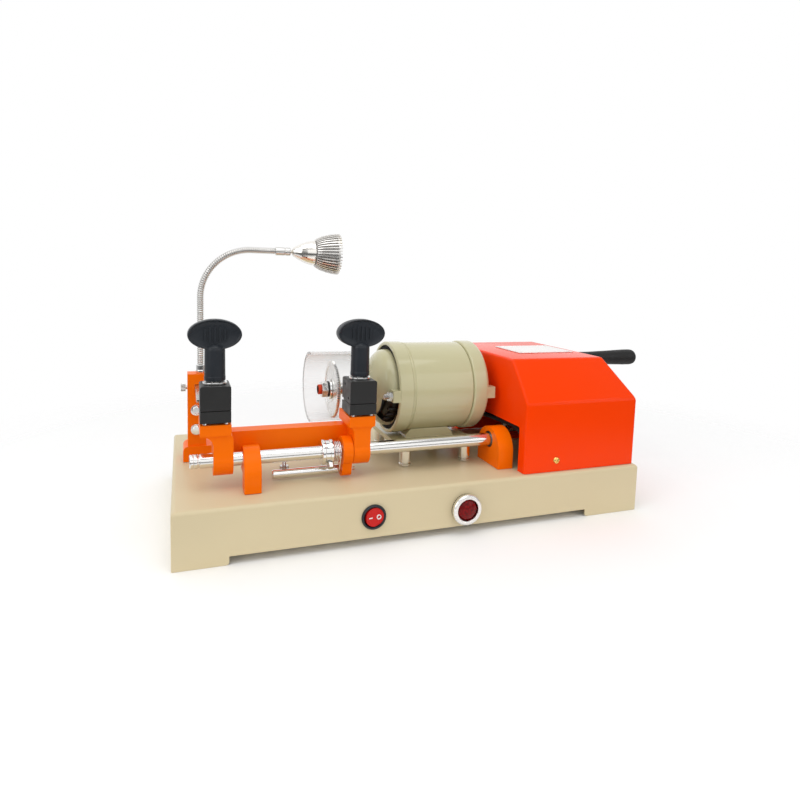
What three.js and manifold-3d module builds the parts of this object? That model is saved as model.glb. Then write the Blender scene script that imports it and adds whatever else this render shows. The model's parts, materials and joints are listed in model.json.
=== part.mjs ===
// A bench-top key duplicating machine. A folded steel base carries a motor with a slotting cutter, a fixed
// tracer, and a two-vise carriage that slides and tilts on one polished shaft. A hand lever under the drive
// cover moves it.
// Millimetres. +X runs along the machine to the drive cover, +Y is away from the operator, +Z is up.

import * as THREE from 'three';
import { mergeVertices } from 'three/addons/utils/BufferGeometryUtils.js';
import Module from 'manifold-3d';

const wasm = await Module();
wasm.setup();

// ---------------------------------------------------------------- driving dimensions

const gap = 0.3; // clearance between pieces that rest on each other
const sheet = 1.5; // steel sheet of the base and the cover

const base = { length: 472, width: 240, height: 50, bend: 3.5, leftFoot: 46, rightFoot: 66, notch: 7.5 };
const halfLength = base.length / 2;
const halfWidth = base.width / 2;
const deck = base.height + gap; // where the pieces on the base start

const shaft = { radius: 6.5, y: -72.5, z: 76.5, left: -221, right: 173 };
const support = { radius: 22.5, rise: 67.5, depth: 45, backRadius: 11.5 };
const leftPost = { left: -175.5, right: -160.5 };
const rightBlock = { left: 78, right: 95 };

const motor = { y: -16, z: 125.5, radius: 47.8, ringRadius: 49 };
const motorX = { hub: -42, ring: -20.3, body: -4.9, seam: 63.8, rear: 80.9, tail: 94 };
const ventStep = THREE.MathUtils.degToRad(50);
const pillar = { radius: 6.2, height: 18.4, x: [-10, 58], y: [-56, 28] };

const cutter = { x: -78.2, radius: 30, thickness: 4.5 };
const guard = { left: -103, right: -44.5, radius: 36.5, wall: 2.5, z: 128.5 };

const vise = { left: -199.2, right: -65.8, y: -73, width: 26, depth: 30 };
const jaw = { bottom: 114.2, split: 124.4, lip: 125, top: 146.5 };
const stud = { radius: 5, bottom: 101.5, top: 168 };
const knob = {
  bottom: 149.3, stemRadius: 9.2, stemTop: 180, paddleZ: 190.5, width: 46, height: 27, thickness: 12 };

const arm = { hubRadius: 13.6, headBottom: 101, headTop: 112 };
const beam = { front: -59, back: -43, bottom: 74, top: 98 };

const collar = { left: -103.2, right: -91.5, radius: 12.4 };
const ear = { left: -83, right: -73.6, tipZ: 58.5, tipRadius: 7 };
const spring = { wire: 0.7, radius: 9.6, turns: 3.5, pitch: 1.65 };
const hook = { y: shaft.y - 3.6, z: 57.5 };
const springRod = { left: -147.5, y: -66.5, z: 56.4, radius: 4.2 };
const stopBolt = { x: -134.5, y: -56, radius: 2, headRadius: 4.3, headBottom: 57, headHeight: 3.6 };

// The tracer stands in front of the left vise as the cutter stands in front of the right one.
const tracer = {
  x: vise.left - (vise.right - cutter.x), z: motor.z, tip: -44.5, back: 36, halfWidth: 2.5, halfHeight: 4 };
const tracerBolt = { x: -213, heights: [103.5, 83.5] };
const post = { left: -221.5, right: -203.5, front: 12, back: 30, top: 140.5 };

const cover = {
  left: 96.1, right: 232.6, topRight: 210.1, front: -115.3, topFront: -82.4, back: 58.7,
  crease: 122.1, top: 162.8 };
const coverScrew = { x: 134, z: 62 };
const lever = { x: 165, y: 40, armBottom: 83.6, armTop: 88.4, handleZ: 141.7, handleRadius: 5 };
const grip = { start: 268, end: 362 };
const linkPin = { x: lever.x, radius: 3, bottom: 76.8, top: 95 };

const neck = { x: -208.5, y: 21, radius: 3.4, straightTop: 217.4, bend: 50, end: -134 };
const lampAxisZ = neck.straightTop + neck.bend;
const lampTilt = THREE.MathUtils.degToRad(1);

const rocker = { x: -63.2, z: 27.1, radius: 8.7, tilt: THREE.MathUtils.degToRad(8) };
const pilot = { x: 29.2, z: 25.2 };
const inlet = { x: 150, z: 27 };
const cable = { start: [86, -20, 92], end: [103.5, -98, 52.3], radius: 2.6 };

// ---------------------------------------------------------------- materials

function paint(color, roughness, metalness) {
  return new THREE.MeshStandardMaterial({ color, roughness, metalness });
}

const beigePaint = paint(0xd7c8a5, 0.55, 0.1);
const orangePaint = paint(0xf56b12, 0.4, 0.1);
const coverPaint = paint(0xff4f0a, 0.3, 0.1);
const motorPaint = paint(0xcdc8a0, 0.35, 0.2);
const chrome = paint(0xd8dadc, 0.12, 1);
const steel = paint(0xb4b6b8, 0.3, 1);
const blackOxide = paint(0x373737, 0.6, 0.4);
const blackPlastic = paint(0x23272c, 0.45, 0);
const brass = paint(0xd9a441, 0.3, 1);
const aluminium = paint(0xb9bcc0, 0.35, 1);
const clearPlastic = new THREE.MeshStandardMaterial({
  color: 0xe8eef0, roughness: 0.08, transparent: true, opacity: 0.35 });
const redLens = paint(0x8c0f16, 0.15, 0);
const redPlastic = paint(0xd3202a, 0.3, 0);
const whitePlate = paint(0xd8d8d6, 0.35, 0.3);
const lampGlass = paint(0xf2f2ea, 0.2, 0);

// ---------------------------------------------------------------- shapes

function box(x0, x1, y0, y1, z0, z1) {
  const geometry = new THREE.BoxGeometry(x1 - x0, y1 - y0, z1 - z0);
  return geometry.translate((x0 + x1) / 2, (y0 + y1) / 2, (z0 + z1) / 2);
}

function cylinderX(radius, x0, x1, y, z, sides = 24) {
  const geometry = new THREE.CylinderGeometry(radius, radius, x1 - x0, sides);
  return geometry.rotateZ(Math.PI / 2).translate((x0 + x1) / 2, y, z);
}

function cylinderY(radius, x, y0, y1, z, sides = 24) {
  const geometry = new THREE.CylinderGeometry(radius, radius, y1 - y0, sides);
  return geometry.translate(x, (y0 + y1) / 2, z);
}

function cylinderZ(radius, x, y, z0, z1, sides = 24) {
  const geometry = new THREE.CylinderGeometry(radius, radius, z1 - z0, sides);
  return geometry.rotateX(Math.PI / 2).translate(x, y, (z0 + z1) / 2);
}

function extrude(shape, depth, curveSegments) {
  return new THREE.ExtrudeGeometry(shape, { depth, bevelEnabled: false, curveSegments });
}

// An outline drawn in (y, z) and carried along X.
function prismX(shape, x0, x1, curveSegments = 8) {
  const turn = new THREE.Matrix4().makeBasis(
    new THREE.Vector3(0, 1, 0), new THREE.Vector3(0, 0, 1), new THREE.Vector3(1, 0, 0));
  return extrude(shape, x1 - x0, curveSegments).applyMatrix4(turn).translate(x0, 0, 0);
}

// An outline drawn in (x, z) and carried along Y.
function prismY(shape, y0, y1, curveSegments = 8) {
  return extrude(shape, y1 - y0, curveSegments).rotateX(Math.PI / 2).translate(0, y1, 0);
}

// An outline drawn in (x, y) and carried along Z.
function prismZ(shape, z0, z1, curveSegments = 8) {
  return extrude(shape, z1 - z0, curveSegments).translate(0, 0, z0);
}

function polygon(points) {
  return new THREE.Shape(points.map(([a, b]) => new THREE.Vector2(a, b)));
}

function circle(a, b, radius) {
  return new THREE.Shape().absarc(a, b, radius, 0, 2 * Math.PI, false);
}

function roundedRectangle(a0, a1, b0, b1, radius) {
  const shape = new THREE.Shape();
  shape.absarc(a1 - radius, b0 + radius, radius, -Math.PI / 2, 0, false);
  shape.absarc(a1 - radius, b1 - radius, radius, 0, Math.PI / 2, false);
  shape.absarc(a0 + radius, b1 - radius, radius, Math.PI / 2, Math.PI, false);
  shape.absarc(a0 + radius, b0 + radius, radius, Math.PI, 1.5 * Math.PI, false);
  return shape;
}

// A turned piece about the X axis; the profile is a list of [radius, x] from left to right.
function turnedX(profile, y, z, sides = 24) {
  const points = profile.map(([radius, x]) => new THREE.Vector2(radius, x));
  return new THREE.LatheGeometry(points, sides).rotateZ(-Math.PI / 2).translate(0, y, z);
}

// A turned piece about the Y axis; the profile is a list of [radius, y] from front to back.
function turnedY(profile, x, z, sides = 24) {
  const points = profile.map(([radius, y]) => new THREE.Vector2(radius, y));
  return new THREE.LatheGeometry(points, sides).translate(x, 0, z);
}

function tube(points, radius, sides, steps) {
  const vectors = points.map((point) => new THREE.Vector3(...point));
  const path = new THREE.CatmullRomCurve3(vectors, false, 'centripetal');
  const section = new THREE.Shape();
  for (let i = 0; i < sides; i += 1) {
    const angle = (i / sides) * 2 * Math.PI;
    section[i === 0 ? 'moveTo' : 'lineTo'](radius * Math.cos(angle), radius * Math.sin(angle));
  }
  return new THREE.ExtrudeGeometry(section, { extrudePath: path, steps, bevelEnabled: false });
}

// ---------------------------------------------------------------- joining and cutting

function toManifold(geometry) {
  const bare = geometry.clone();
  bare.deleteAttribute('normal');
  bare.deleteAttribute('uv');
  const merged = mergeVertices(bare, 1e-4);
  const mesh = new wasm.Mesh({
    numProp: 3,
    vertProperties: new Float32Array(merged.attributes.position.array),
    triVerts: new Uint32Array(merged.index.array),
  });
  mesh.merge();
  return new wasm.Manifold(mesh);
}

function toGeometry(manifold) {
  const mesh = manifold.getMesh();
  const geometry = new THREE.BufferGeometry();
  geometry.setAttribute('position', new THREE.BufferAttribute(new Float32Array(mesh.vertProperties), 3));
  geometry.setIndex(new THREE.BufferAttribute(new Uint32Array(mesh.triVerts), 1));
  geometry.computeVertexNormals();
  return geometry;
}

function join(...geometries) {
  return toGeometry(geometries.map(toManifold).reduce((whole, piece) => whole.add(piece)));
}

function cut(geometry, ...tools) {
  const whole = toManifold(geometry);
  return toGeometry(tools.map(toManifold).reduce((left, tool) => left.subtract(tool), whole));
}

function overlap(first, second) {
  return toGeometry(toManifold(first).intersect(toManifold(second)));
}

function node(name, geometry, material) {
  const mesh = new THREE.Mesh(geometry, material);
  mesh.name = name;
  return mesh;
}

function group(...members) {
  const made = new THREE.Group();
  made.add(...members);
  return made;
}

// ---------------------------------------------------------------- base

function bentTop(half) {
  const shape = new THREE.Shape();
  shape.moveTo(-half, 0);
  shape.lineTo(half, 0);
  shape.absarc(half - base.bend, base.height - base.bend, base.bend, 0, Math.PI / 2, false);
  shape.absarc(-half + base.bend, base.height - base.bend, base.bend, Math.PI / 2, Math.PI, false);
  return shape;
}

function baseHousing() {
  const outside = overlap(
    prismX(bentTop(halfWidth), -halfLength, halfLength, 4),
    prismY(bentTop(halfLength), -halfWidth, halfWidth, 4));
  const inside = box(-halfLength + sheet, halfLength - sheet, -halfWidth + sheet, halfWidth - sheet,
    -1, base.height - sheet);
  const left = -halfLength + base.leftFoot;
  const right = halfLength - base.rightFoot;
  const notch = prismY(polygon([[left - 2, -1], [right + 2, -1], [right, base.notch], [left, base.notch]]),
    -halfWidth - 1, halfWidth + 1);
  const tabFront = cover.front + sheet + gap;
  const tab = box(coverScrew.x - 9, coverScrew.x + 9, tabFront, tabFront + sheet,
    base.height - sheet / 2, base.height + 20);
  const shell = cut(outside, inside, notch,
    cylinderY(10.6, rocker.x, -halfWidth - 1, -halfWidth + 3, rocker.z),
    cylinderY(12.6, pilot.x, -halfWidth - 1, -halfWidth + 3, pilot.z),
    box(inlet.x - 14.5, inlet.x + 14.5, halfWidth - 3, halfWidth + 1, inlet.z - 11, inlet.z + 11),
    cylinderZ(3.6, cable.end[0], cable.end[1], base.height - 3, base.height + 1, 12));
  const flanges = [-1, 1].map((side) => box(side * (halfLength - 8) - 6.6, side * (halfLength - 8) + 6.6,
    -halfWidth + sheet / 2, halfWidth - sheet / 2, 0, sheet));
  const screwHole = cylinderY(1.9, coverScrew.x, cover.front, cover.front + 5, coverScrew.z, 12);
  return cut(join(shell, tab, ...flanges), screwHole);
}

function baseBottomCover() {
  const inset = sheet + gap;
  return box(-halfLength + inset, halfLength - inset, -halfWidth + inset, halfWidth - inset, 9, 10.5);
}

function powerInlet() {
  const back = halfWidth + gap;
  const outline = roundedRectangle(inlet.x - 20, inlet.x + 20, inlet.z - 13, inlet.z + 13, 3);
  const flange = prismY(outline, back, back + 2.5, 4);
  const body = box(inlet.x - 14, inlet.x + 14, back - 22, back + 1, inlet.z - 10.5, inlet.z + 10.5);
  const socket = box(inlet.x - 12, inlet.x + 12, back - 14, back + 4, inlet.z - 8.5, inlet.z + 8.5);
  return cut(join(flange, body), socket);
}

// A round cup with a rim against the base's front.
function switchBezel() {
  const front = -halfWidth - gap;
  const well = rocker.radius + 0.9;
  return turnedY([[0, front + 15], [well, front + 15], [well, front - 2], [11, front - 2],
    [11.7, front - 1.2], [11.7, front], [10.3, front], [10.3, front + 18], [0, front + 18]],
  rocker.x, rocker.z);
}

// The round rocker turns about a vertical pin. It rests with its right half pressed in.
function switchRocker() {
  const side = polygon([[-9, -5], [0, -3.8], [9, -5], [7, 5], [-7, 5]]);
  return overlap(prismZ(side, -9, 9), cylinderY(rocker.radius, 0, -6, 6, 0));
}

function pilotBezel() {
  const face = -halfWidth - gap;
  return turnedY([[0, face + 9], [10.6, face + 9], [10.6, face - 7], [11.6, face - 7.6], [13.6, face - 7.4],
    [15, face - 6], [15, face - 3.2], [13.8, face - 2], [13.8, face], [12.2, face], [12.2, face + 16],
    [0, face + 16]], pilot.x, pilot.z);
}

function pilotLens() {
  const face = -halfWidth - gap;
  return turnedY([[0, face - 8.4], [4.5, face - 8.1], [8, face - 7.1], [10.2, face - 5.2], [10.2, face + 8.6],
    [0, face + 8.6]], pilot.x, pilot.z);
}

function makeBase() {
  const rockerMesh = node('switch_rocker', switchRocker(), redPlastic);
  rockerMesh.position.set(rocker.x, -halfWidth + 2.2, rocker.z);
  rockerMesh.rotation.z = rocker.tilt;
  return group(
    node('base_housing', baseHousing(), beigePaint),
    node('base_bottom_cover', baseBottomCover(), beigePaint),
    node('power_inlet', powerInlet(), blackPlastic),
    node('switch_bezel', switchBezel(), blackPlastic),
    rockerMesh,
    node('pilot_bezel', pilotBezel(), chrome),
    node('pilot_lens', pilotLens(), redLens));
}

// ---------------------------------------------------------------- shaft supports

function supportOutline() {
  const half = support.depth / 2;
  const shape = new THREE.Shape();
  shape.moveTo(shaft.y - half, deck);
  shape.lineTo(shaft.y + half, deck);
  shape.absarc(shaft.y, support.rise, support.radius, 0, Math.PI, false);
  return shape;
}

function shaftBore(place) {
  return cylinderX(shaft.radius + gap, place.left - 1, place.right + 1, shaft.y, shaft.z);
}

// The right block has a counterbore where the shaft goes in.
function rightShaftBlock() {
  return cut(prismX(supportOutline(), rightBlock.left, rightBlock.right, 9), shaftBore(rightBlock),
    cylinderX(shaft.radius + 2.2, rightBlock.left - 1, rightBlock.left + 3, shaft.y, shaft.z));
}

// The left post is cut back behind the shaft for the carriage's crossbeam, and below it for the spring rod.
function leftShaftPost() {
  const front = shaft.y - support.depth / 2 - 1;
  const crown = shaft.z + support.backRadius;
  const shape = new THREE.Shape();
  shape.moveTo(front, deck);
  shape.lineTo(shaft.y - 4, deck);
  shape.lineTo(shaft.y - 4, 64);
  shape.lineTo(shaft.y + support.backRadius, 64);
  shape.absarc(shaft.y, shaft.z, support.backRadius, 0, Math.PI / 2, false);
  shape.absarc(front + support.radius, crown - support.radius, support.radius, Math.PI / 2, Math.PI, false);
  return cut(prismX(shape, leftPost.left, leftPost.right, 6), shaftBore(leftPost));
}

// ---------------------------------------------------------------- motor

// A dome with a ring round it, an air groove between them, and three vents at the bottom of the dome.
function frontBell() {
  const groove = { inner: 42.5, outer: 45.2, depth: 6 };
  const grooveEnd = motorX.ring + groove.depth;
  const outer = [[0, motorX.hub], [13, motorX.hub], [15, motorX.hub + 2], [22, -38.5], [32, -35], [39, -30],
    [groove.inner, -24], [groove.inner, grooveEnd], [groove.outer, grooveEnd], [groove.outer, motorX.ring],
    [motor.ringRadius - 1.5, motorX.ring], [motor.ringRadius, motorX.ring + 1.5],
    [motor.ringRadius, motorX.body], [0, motorX.body]];
  const hollow = [[0, -36.5], [22, -34.5], [31, -31.5], [36.5, -27], [39.5, -22], [39.5, motorX.body + 1],
    [0, motorX.body + 1]];
  const vents = [-1, 0, 1].map((i) => {
    const vent = prismX(roundedRectangle(24, 44, -8, 8, 5), -40, -19, 2);
    return vent.rotateX(-Math.PI / 2 + i * ventStep).translate(0, motor.y, motor.z);
  });
  const lug = box(-27.5, -18, motor.y - 48.5, motor.y - 38.5, motor.z - 7, motor.z + 5);
  const shell = cut(turnedX(outer, motor.y, motor.z, 32), turnedX(hollow, motor.y, motor.z, 32), ...vents);
  return cut(join(shell, lug),
    cylinderX(6.3, motorX.hub - 1, motorX.body + 1, motor.y, motor.z),
    cylinderX(3, -30, -20, motor.y - 44, motor.z - 1, 12),
    cylinderX(5.6, -33, -27.5, motor.y - 44, motor.z - 1, 12));
}

// The barrel, with the end of its windings reaching into the front bell.
function motorBody() {
  const barrel = cylinderX(motor.radius, motorX.body + gap, motorX.seam - gap, motor.y, motor.z, 32);
  const profile = [[0, -30], [26, -30], [30, -28.5], [35, -24], [37, -20], [37, 0], [0, 0]];
  const windings = turnedX(profile, motor.y, motor.z);
  return cut(join(barrel, windings), cylinderX(6.3, -35, 50, motor.y, motor.z));
}

function rearBell() {
  const profile = [[0, motorX.seam], [motor.ringRadius, motorX.seam], [motor.ringRadius, motorX.rear - 2],
    [47, motorX.rear], [42, 84], [34, 88.5], [22, 91.5], [15, 92], [15, motorX.tail], [0, motorX.tail]];
  const lug = box(78, 88, motor.y - 48.5, motor.y - 39, motor.z - 7, motor.z + 5);
  const [, startY, startZ] = cable.start;
  const cableHole = cylinderX(cable.radius + 2 * gap, motorX.rear, motorX.tail, startY, startZ, 12);
  return cut(join(turnedX(profile, motor.y, motor.z, 32), lug), cableHole);
}

function motorSaddle() {
  const plate = box(-20, 68, -65, 37, 69, 74);
  const front = polygon([[-4, 73], [52, 73], [50, 78], [44, 83.5], [2, 83.5], [-3, 78]]);
  const cradle = prismY(front, motor.y - 24, motor.y + 24);
  return cut(join(plate, cradle), cylinderX(motor.radius + gap, -30, 90, motor.y, motor.z, 32));
}

function tieBolt() {
  const y = motor.y - 44;
  const z = motor.z - 1;
  return join(cylinderX(2.6, -36, -20.5, y, z, 12), cylinderX(5, -32, -28, y, z, 6));
}

function motorCable() {
  const route = [cable.start, [92, -21, 91.8], [98, -32, 91.6], [101, -58, 92], [103.5, -80, 91.8],
    [104.5, -94, 86], [104.5, -99, 72], cable.end];
  return tube(route, cable.radius, 6, 20);
}

function makePillars() {
  const labels = [['front_left', 'rear_left'], ['front_right', 'rear_right']];
  return pillar.x.flatMap((x, i) => pillar.y.map((y, j) => {
    const post = cylinderZ(pillar.radius, x, y, deck, deck + pillar.height);
    return node('motor_pillar_' + labels[i][j], post, chrome);
  }));
}

// ---------------------------------------------------------------- cutter spindle

function motorSpindle() {
  const back = cutter.x + cutter.thickness / 2 + gap;
  return turnedX([[0, -94], [4.6, -94], [4.6, -90.5], [5, -90.5], [5, back], [11, back], [11, back + 4],
    [6, back + 4], [6, 49], [0, 49]], motor.y, motor.z);
}

function cutterWheel() {
  const front = cutter.x - cutter.thickness / 2;
  const back = cutter.x + cutter.thickness / 2;
  const bore = 5.3;
  return turnedX([[bore, front], [cutter.radius - 1.5, front], [cutter.radius, front + 1.5],
    [cutter.radius, cutter.x + 0.5], [cutter.radius - 4, back], [bore, back], [bore, front]],
  motor.y, motor.z, 36);
}

function cutterFlange() {
  const face = cutter.x - cutter.thickness / 2 - gap;
  const disc = cylinderX(10.5, face - 3.5, face, motor.y, motor.z);
  return cut(disc, cylinderX(5.3, face - 5, face + 1, motor.y, motor.z));
}

function arborNut() {
  const face = cutter.x - cutter.thickness / 2 - 2 * gap - 3.5;
  const hexagon = cylinderX(8.6, face - 6, face, motor.y, motor.z, 6);
  return cut(hexagon, cylinderX(5.3, face - 7, face + 1, motor.y, motor.z));
}

// A clear half-cylinder behind the cutter, with an end wall against the motor's front bell.
function cutterGuard() {
  const outer = circle(motor.y, guard.z, guard.radius);
  outer.holes.push(circle(motor.y, guard.z, guard.radius - guard.wall));
  const shell = prismX(outer, guard.left, guard.right, 12);
  const wallOutline = circle(motor.y, guard.z, guard.radius - guard.wall / 2);
  const wall = prismX(wallOutline, guard.right - 2, guard.right, 12);
  const openFront = box(guard.left - 1, guard.right + 1, motor.y - 60, motor.y - 2, 60, 200);
  return cut(join(shell, wall), openFront, cylinderX(14, guard.right - 5, guard.right + 5, motor.y, motor.z));
}

// ---------------------------------------------------------------- tracer and lamp

function tracerPost() {
  const column = box(post.left, post.right, post.front, post.back, deck + 5, post.top);
  const foot = prismY(roundedRectangle(post.left - 4.5, post.right + 8.5, deck - 5, 66, 5), 10, 38, 4);
  const halfSlot = tracer.halfWidth + gap;
  const halfHeight = tracer.halfHeight + gap;
  return cut(join(column, foot),
    box(post.left - 9, post.right + 9, 0, 50, deck - 6, deck),
    box(tracer.x - halfSlot, tracer.x + halfSlot, post.front - 1, post.back + 1,
      tracer.z - halfHeight, tracer.z + halfHeight),
    cylinderX(2.3, post.left - 1, tracer.x, neck.y, tracer.z, 12),
    ...tracerBolt.heights.map((z) => cylinderY(2.8, tracerBolt.x, post.front - 1, post.front + 11, z, 12)));
}

// A hardened finger; its tip stands where the cutter stands in front of the other vise.
function tracerBlade() {
  const top = tracer.z + tracer.halfHeight;
  const bottom = tracer.z - tracer.halfHeight;
  const shoulder = tracer.tip + 8;
  const profile = polygon([[tracer.tip, tracer.z - 1], [shoulder, bottom], [tracer.back, bottom],
    [tracer.back, top], [shoulder, top], [tracer.tip, tracer.z + 1]]);
  return prismX(profile, tracer.x - tracer.halfWidth, tracer.x + tracer.halfWidth);
}

// A hexagon bolt with its washer.
function tracerBoltPiece(z) {
  const face = post.front - gap;
  return join(cylinderY(6, tracerBolt.x, face - 1.4, face, z),
    cylinderY(4.2, tracerBolt.x, face - 5, face - 1, z, 6),
    cylinderY(2.5, tracerBolt.x, face - 2, face + 10, z, 12));
}

function tracerThumbScrew() {
  const face = post.left - gap;
  return join(cylinderX(4, face - 6, face - 1.5, neck.y, tracer.z, 20),
    cylinderX(2, face - 2, tracer.x - tracer.halfWidth - gap, neck.y, tracer.z, 12));
}

function gooseneck() {
  const points = [[neck.x, neck.y, post.top + 8.6], [neck.x, neck.y, 170], [neck.x, neck.y, 195]];
  for (let i = 0; i <= 6; i += 1) {
    const angle = Math.PI - (i / 6) * (Math.PI / 2);
    const x = neck.x + neck.bend * (1 + Math.cos(angle));
    points.push([x, neck.y, neck.straightTop + neck.bend * Math.sin(angle)]);
  }
  points.push([neck.end, neck.y, lampAxisZ]);
  return tube(points, neck.radius, 8, 30);
}

// The lamp head is drawn along X from its joint at the origin.
function lampCone() {
  return turnedX([[0, -0.3], [1, -0.3], [2.2, 0.8], [3.4, 1.2], [4.5, 1.9], [6, 4.4], [9, 10], [11.5, 16],
    [13.2, 25], [0, 25]], 0, 0);
}

function lampHeatSink() {
  const profile = [[0, 25.3], [14.5, 25.3], [17.5, 33], [20, 42], [21.2, 50], [18.8, 50], [17.6, 43],
    [15, 34], [0, 34]];
  const finSide = [[26, 12], [48, 19.5], [53.5, 19.8], [53.5, 23], [45, 22], [32, 18.5], [26, 15.6]];
  const finCount = 12;
  const pieces = [turnedX(profile, 0, 0)];
  for (let i = 0; i < finCount; i += 1) {
    pieces.push(prismY(polygon(finSide), -0.9, 0.9).rotateX((i / finCount) * 2 * Math.PI));
  }
  return join(...pieces);
}

function lampLens() {
  return turnedX([[0, 44.5], [17.4, 44.5], [17.9, 46.5], [0, 47.5]], 0, 0);
}

function makeLampHead() {
  const head = group(
    node('lamp_cone', lampCone(), aluminium),
    node('lamp_heat_sink', lampHeatSink(), aluminium),
    node('lamp_lens', lampLens(), lampGlass));
  head.position.set(neck.end + 17, neck.y, lampAxisZ);
  head.rotation.y = lampTilt;
  return head;
}

function makeTracerAndLamp() {
  return group(
    node('tracer_post', tracerPost(), orangePaint),
    node('tracer_blade', tracerBlade(), steel),
    node('tracer_bolt_upper', tracerBoltPiece(tracerBolt.heights[0]), steel),
    node('tracer_bolt_lower', tracerBoltPiece(tracerBolt.heights[1]), steel),
    node('tracer_thumb_screw', tracerThumbScrew(), steel),
    node('lamp_base_ferrule', cylinderZ(5, neck.x, neck.y, post.top + gap, post.top + 8.3), chrome),
    node('gooseneck', gooseneck(), steel),
    node('lamp_neck_ferrule', cylinderX(4.3, neck.end + gap, neck.end + 16.2, neck.y, lampAxisZ), chrome),
    makeLampHead());
}

// ---------------------------------------------------------------- sliding shaft

function mainShaft() {
  const rod = turnedX([[0, shaft.left], [shaft.radius - 1, shaft.left], [shaft.radius, shaft.left + 1],
    [shaft.radius, shaft.right - 1], [shaft.radius - 1, shaft.right], [0, shaft.right]], shaft.y, shaft.z);
  const pinHole = cylinderZ(linkPin.radius + gap, linkPin.x, shaft.y, linkPin.bottom - gap, shaft.z + 10, 20);
  return cut(rod, pinHole);
}

function shaftCollar() {
  const bore = shaft.radius + gap;
  const ring = turnedX([[bore, collar.left], [collar.radius - 1, collar.left],
    [collar.radius, collar.left + 1], [collar.radius, collar.right - 1], [collar.radius - 1, collar.right],
    [bore, collar.right], [bore, collar.left]], shaft.y, shaft.z);
  return cut(ring, screwAxis(2.3, 5, 20));
}

// A cylinder that points down and towards the operator from the shaft, where the collar's set screw goes.
function screwAxis(radius, from, to, sides = 16) {
  return cylinderZ(radius, 0, 0, -to, -from, sides).rotateX(-Math.PI / 4)
    .translate((collar.left + collar.right) / 2 + 2, shaft.y, shaft.z);
}

function collarScrew() {
  return join(screwAxis(2, 7.2, 14), screwAxis(3.2, 13, 17.5));
}

// ---------------------------------------------------------------- tilting carriage

function hubX(x0, x1) {
  return cylinderX(arm.hubRadius, x0, x1, shaft.y, shaft.z, 28);
}

// One arm: a head under the vise, a neck, and a hub on the shaft, seen from the front as a swan neck.
function carriageArm(head, hub) {
  const bend = 5;
  const front = new THREE.Shape();
  front.moveTo(hub[0], shaft.z);
  front.lineTo(hub[1], shaft.z);
  front.lineTo(hub[1], arm.headBottom - bend);
  front.quadraticCurveTo(hub[1], arm.headBottom, head[1], arm.headBottom + 1);
  front.lineTo(head[1], arm.headTop);
  front.lineTo(head[0], arm.headTop);
  front.lineTo(head[0], arm.headBottom + 1);
  front.quadraticCurveTo(hub[0], arm.headBottom, hub[0], arm.headBottom - 2 * bend);
  const neckBody = prismY(front, vise.y - 12, beam.back - 3, 6);
  const headBlock = box(head[0], head[1], vise.y - 13.5, vise.y + 15.5, arm.headBottom + 1, arm.headTop);
  const lip = box(hub[0], hub[1], vise.y + 15.5 - gap, vise.y + 21, arm.headBottom + 1, 117);
  return join(hubX(hub[0], hub[1]), neckBody, headBlock, lip);
}

function carriageFrame() {
  const leftHub = [-201, -184];
  const rightHub = [-73, -57];
  const left = carriageArm([-212.4, -185.8], leftHub);
  const right = carriageArm([-78.5, -53], rightHub);
  const bar = box(leftHub[1] - 4, rightHub[0] + 4, beam.front, beam.back, beam.bottom, beam.top);
  return cut(join(left, right, bar),
    cylinderX(shaft.radius + gap, -230, -40, shaft.y, shaft.z),
    cylinderX(ear.tipRadius * 2 + gap, ear.left - gap, ear.right + gap, shaft.y, shaft.z),
    cylinderX(collar.radius + 1, collar.left - 2, ear.left, shaft.y, shaft.z),
    cylinderZ(stopBolt.radius + gap, stopBolt.x, stopBolt.y, beam.bottom - 1, beam.bottom + 13, 12),
    cylinderZ(stud.radius + gap, vise.left, vise.y, stud.bottom - gap, 130),
    cylinderZ(stud.radius + gap, vise.right, vise.y, stud.bottom - gap, 130));
}

// The ear hangs on the shaft beside the right arm; the spring's hook and the spring rod are in its tail.
function springEar() {
  const tail = new THREE.Shape();
  tail.moveTo(shaft.y - 11, shaft.z);
  tail.lineTo(shaft.y - ear.tipRadius, ear.tipZ);
  tail.absarc(shaft.y, ear.tipZ, ear.tipRadius, Math.PI, 2 * Math.PI, false);
  tail.lineTo(shaft.y + 11, shaft.z);
  const disc = cylinderX(14, ear.left, ear.right, shaft.y, shaft.z, 28);
  const plate = join(disc, prismX(tail, ear.left, ear.right, 10));
  return cut(plate, cylinderX(shaft.radius + gap, ear.left - 1, ear.right + 1, shaft.y, shaft.z),
    cylinderX(spring.wire + 0.5, ear.left - 1, ear.right + 1, hook.y, hook.z, 12));
}

function torsionSpring() {
  const start = collar.right + gap + spring.wire;
  const points = [];
  for (let i = 0; i <= spring.turns * 8; i += 1) {
    const angle = (i / 8) * 2 * Math.PI;
    points.push([start + (i / 8) * spring.pitch, shaft.y + spring.radius * Math.cos(angle),
      shaft.z + spring.radius * Math.sin(angle)]);
  }
  const legX = ear.left - 1.6;
  points.push([legX, shaft.y - spring.radius, shaft.z - 5]);
  points.push([legX, hook.y - 2.4, hook.z + 3.5]);
  points.push([legX + 0.4, hook.y - 0.6, hook.z + 0.6]);
  points.push([legX + 2, hook.y, hook.z]);
  points.push([ear.right + 0.6, hook.y, hook.z]);
  points.push([ear.right + 2.2, hook.y - 0.6, hook.z + 0.6]);
  points.push([ear.right + 2.8, hook.y - 2.4, hook.z + 3]);
  return tube(points, spring.wire, 5, 64);
}

function springRodPiece() {
  return cylinderX(springRod.radius, springRod.left, ear.left - gap, springRod.y, springRod.z, 24);
}

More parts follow.
